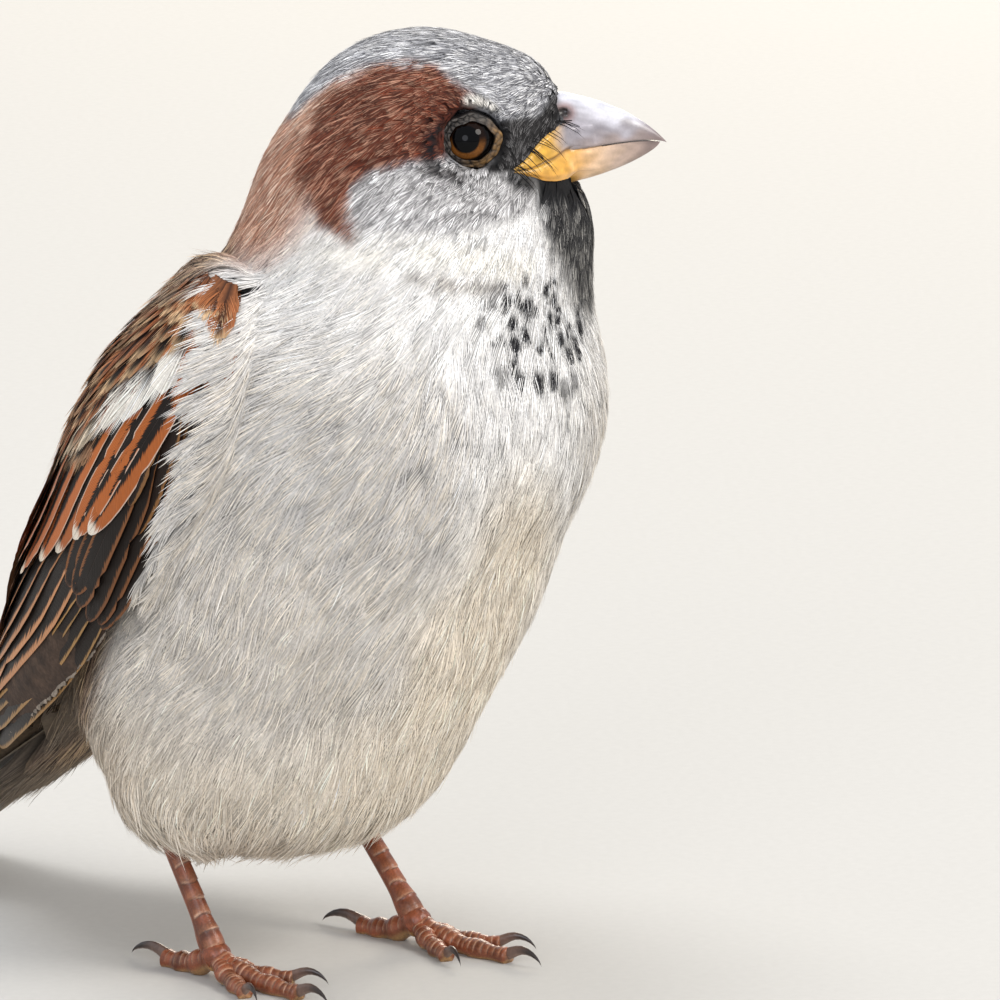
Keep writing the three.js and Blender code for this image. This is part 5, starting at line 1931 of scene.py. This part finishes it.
def make_stage():
    scene = bpy.context.scene
    bm = bmesh.new()
    bmesh.ops.create_circle(bm, cap_ends=True, segments=96, radius=6.0)
    mesh = bpy.data.meshes.new("floor")
    bm.to_mesh(mesh)
    bm.free()
    mesh.materials.append(finish("Paper sweep"))
    floor = bpy.data.objects.new("floor", mesh)
    scene.collection.objects.link(floor)

    out = np.array((math.sin(CAMERA_AZIMUTH) * math.cos(CAMERA_HEIGHT),
                    -math.cos(CAMERA_AZIMUTH) * math.cos(CAMERA_HEIGHT), math.sin(CAMERA_HEIGHT)))
    data = bpy.data.cameras.new("camera")
    data.lens, data.sensor_width = CAMERA_LENS, 36.0
    data.clip_end = 50.0
    camera = bpy.data.objects.new("camera", data)
    scene.collection.objects.link(camera)
    camera.location = Vector((CAMERA_AIM + CAMERA_DISTANCE * out) * MM)
    camera.rotation_euler = Vector(-out).to_track_quat("-Z", "Y").to_euler()
    scene.camera = camera

    world = scene.world or bpy.data.worlds.new("world")
    scene.world = world
    world.use_nodes = True
    sky = world.node_tree.nodes["Background"]
    sky.inputs["Color"].default_value = (*linear("#e9edf2"), 1)
    sky.inputs["Strength"].default_value = 0.85
    aim = (0.0, -0.02, 0.06)
    add_light("key", (0.35, -1.1, 0.95), 0.6, 12.5, "#fffaf3", aim)
    add_light("fill", (-1.2, -0.7, 0.5), 0.8, 6.5, "#f2f5ff", aim)
    add_light("top", (-0.1, 0.3, 1.3), 0.7, 7.0, "#ffffff", aim)
    add_light("rim", (0.9, 0.6, 0.5), 0.4, 5.0, "#fff3e0", aim)
    scene.view_settings.view_transform = "Standard"


# ---------- operators ----------
class SPARROW_OT_stage(bpy.types.Operator):
    """Sets the floor, the lights and the camera"""

    bl_idname = "sparrow.stage"
    bl_label = "Stage"

    def execute(self, context):
        make_stage()
        return {"FINISHED"}


class SPARROW_OT_skin(bpy.types.Operator):
    """Grows one skin over head, neck, trunk and thighs"""

    bl_idname = "sparrow.skin"
    bl_label = "Skin"

    def execute(self, context):
        make_skin()
        return {"FINISHED"}


class SPARROW_OT_coat(bpy.types.Operator):
    """Lays the loose feathers of head and body"""

    bl_idname = "sparrow.coat"
    bl_label = "Coat"

    def execute(self, context):
        for index in range(len(COAT_ZONES)):
            for side in SIDES.values():
                make_coat_zone(index, side)
        return {"FINISHED"}


class SPARROW_OT_mantle(bpy.types.Operator):
    """Lays the closed feathers of the back"""

    bl_idname = "sparrow.mantle"
    bl_label = "Mantle"

    def execute(self, context):
        make_mantle()
        return {"FINISHED"}


class SPARROW_OT_wings(bpy.types.Operator):
    """Builds both folded wings, feather by feather"""

    bl_idname = "sparrow.wings"
    bl_label = "Wings"

    def execute(self, context):
        for name, side in SIDES.items():
            make_wing(f"wing_{name}", side)
        return {"FINISHED"}


class SPARROW_OT_tail(bpy.types.Operator):
    """Builds the tail feathers and the bed under them"""

    bl_idname = "sparrow.tail"
    bl_label = "Tail"

    def execute(self, context):
        make_tail()
        return {"FINISHED"}


class SPARROW_OT_bill(bpy.types.Operator):
    """Shapes both halves of the bill"""

    bl_idname = "sparrow.bill"
    bl_label = "Bill"

    def execute(self, context):
        make_bill()
        return {"FINISHED"}


class SPARROW_OT_gape(bpy.types.Operator):
    """Shapes the soft yellow skin at the corners of the mouth"""

    bl_idname = "sparrow.gape"
    bl_label = "Gape"

    def execute(self, context):
        make_gape()
        return {"FINISHED"}


class SPARROW_OT_bristles(bpy.types.Operator):
    """Sets the stiff bristles at the base of the bill"""

    bl_idname = "sparrow.bristles"
    bl_label = "Bristles"

    def execute(self, context):
        make_bristles()
        return {"FINISHED"}


class SPARROW_OT_eyes(bpy.types.Operator):
    """Sets the eyes in their beaded lids"""

    bl_idname = "sparrow.eyes"
    bl_label = "Eyes"

    def execute(self, context):
        make_eyes()
        return {"FINISHED"}


class SPARROW_OT_legs(bpy.types.Operator):
    """Shapes the scaly legs, toes and claws"""

    bl_idname = "sparrow.legs"
    bl_label = "Legs"

    def execute(self, context):
        make_legs()
        return {"FINISHED"}


STEPS = (
    SPARROW_OT_stage,
    SPARROW_OT_skin,
    SPARROW_OT_coat,
    SPARROW_OT_mantle,
    SPARROW_OT_wings,
    SPARROW_OT_tail,
    SPARROW_OT_bill,
    SPARROW_OT_gape,
    SPARROW_OT_bristles,
    SPARROW_OT_eyes,
    SPARROW_OT_legs,
)


class SPARROW_PT_panel(bpy.types.Panel):
    """Lists the sparrow's steps and values in the sidebar."""

    bl_label = "House sparrow"
    bl_idname = "SPARROW_PT_panel"
    bl_space_type = "VIEW_3D"
    bl_region_type = "UI"
    bl_category = "Sparrow"

    def draw(self, context):
        for step in STEPS:
            self.layout.operator(step.bl_idname)
        for group in (context.scene.sparrow_sizes, context.scene.sparrow_colours):
            column = self.layout.column()
            for name in group.__annotations__:
                column.prop(group, name)


CLASSES = (SparrowColours, SparrowSizes, *STEPS, SPARROW_PT_panel)


def register():
    for kind in CLASSES:
        bpy.utils.register_class(kind)
    bpy.types.Scene.sparrow_colours = PointerProperty(type=SparrowColours)
    bpy.types.Scene.sparrow_sizes = PointerProperty(type=SparrowSizes)


def unregister():
    del bpy.types.Scene.sparrow_sizes
    del bpy.types.Scene.sparrow_colours
    for kind in reversed(CLASSES):
        bpy.utils.unregister_class(kind)


def main():
    register()
    for step in STEPS:
        group, name = step.bl_idname.split(".")
        getattr(getattr(bpy.ops, group), name)()


if __name__ == "__main__":
    main()
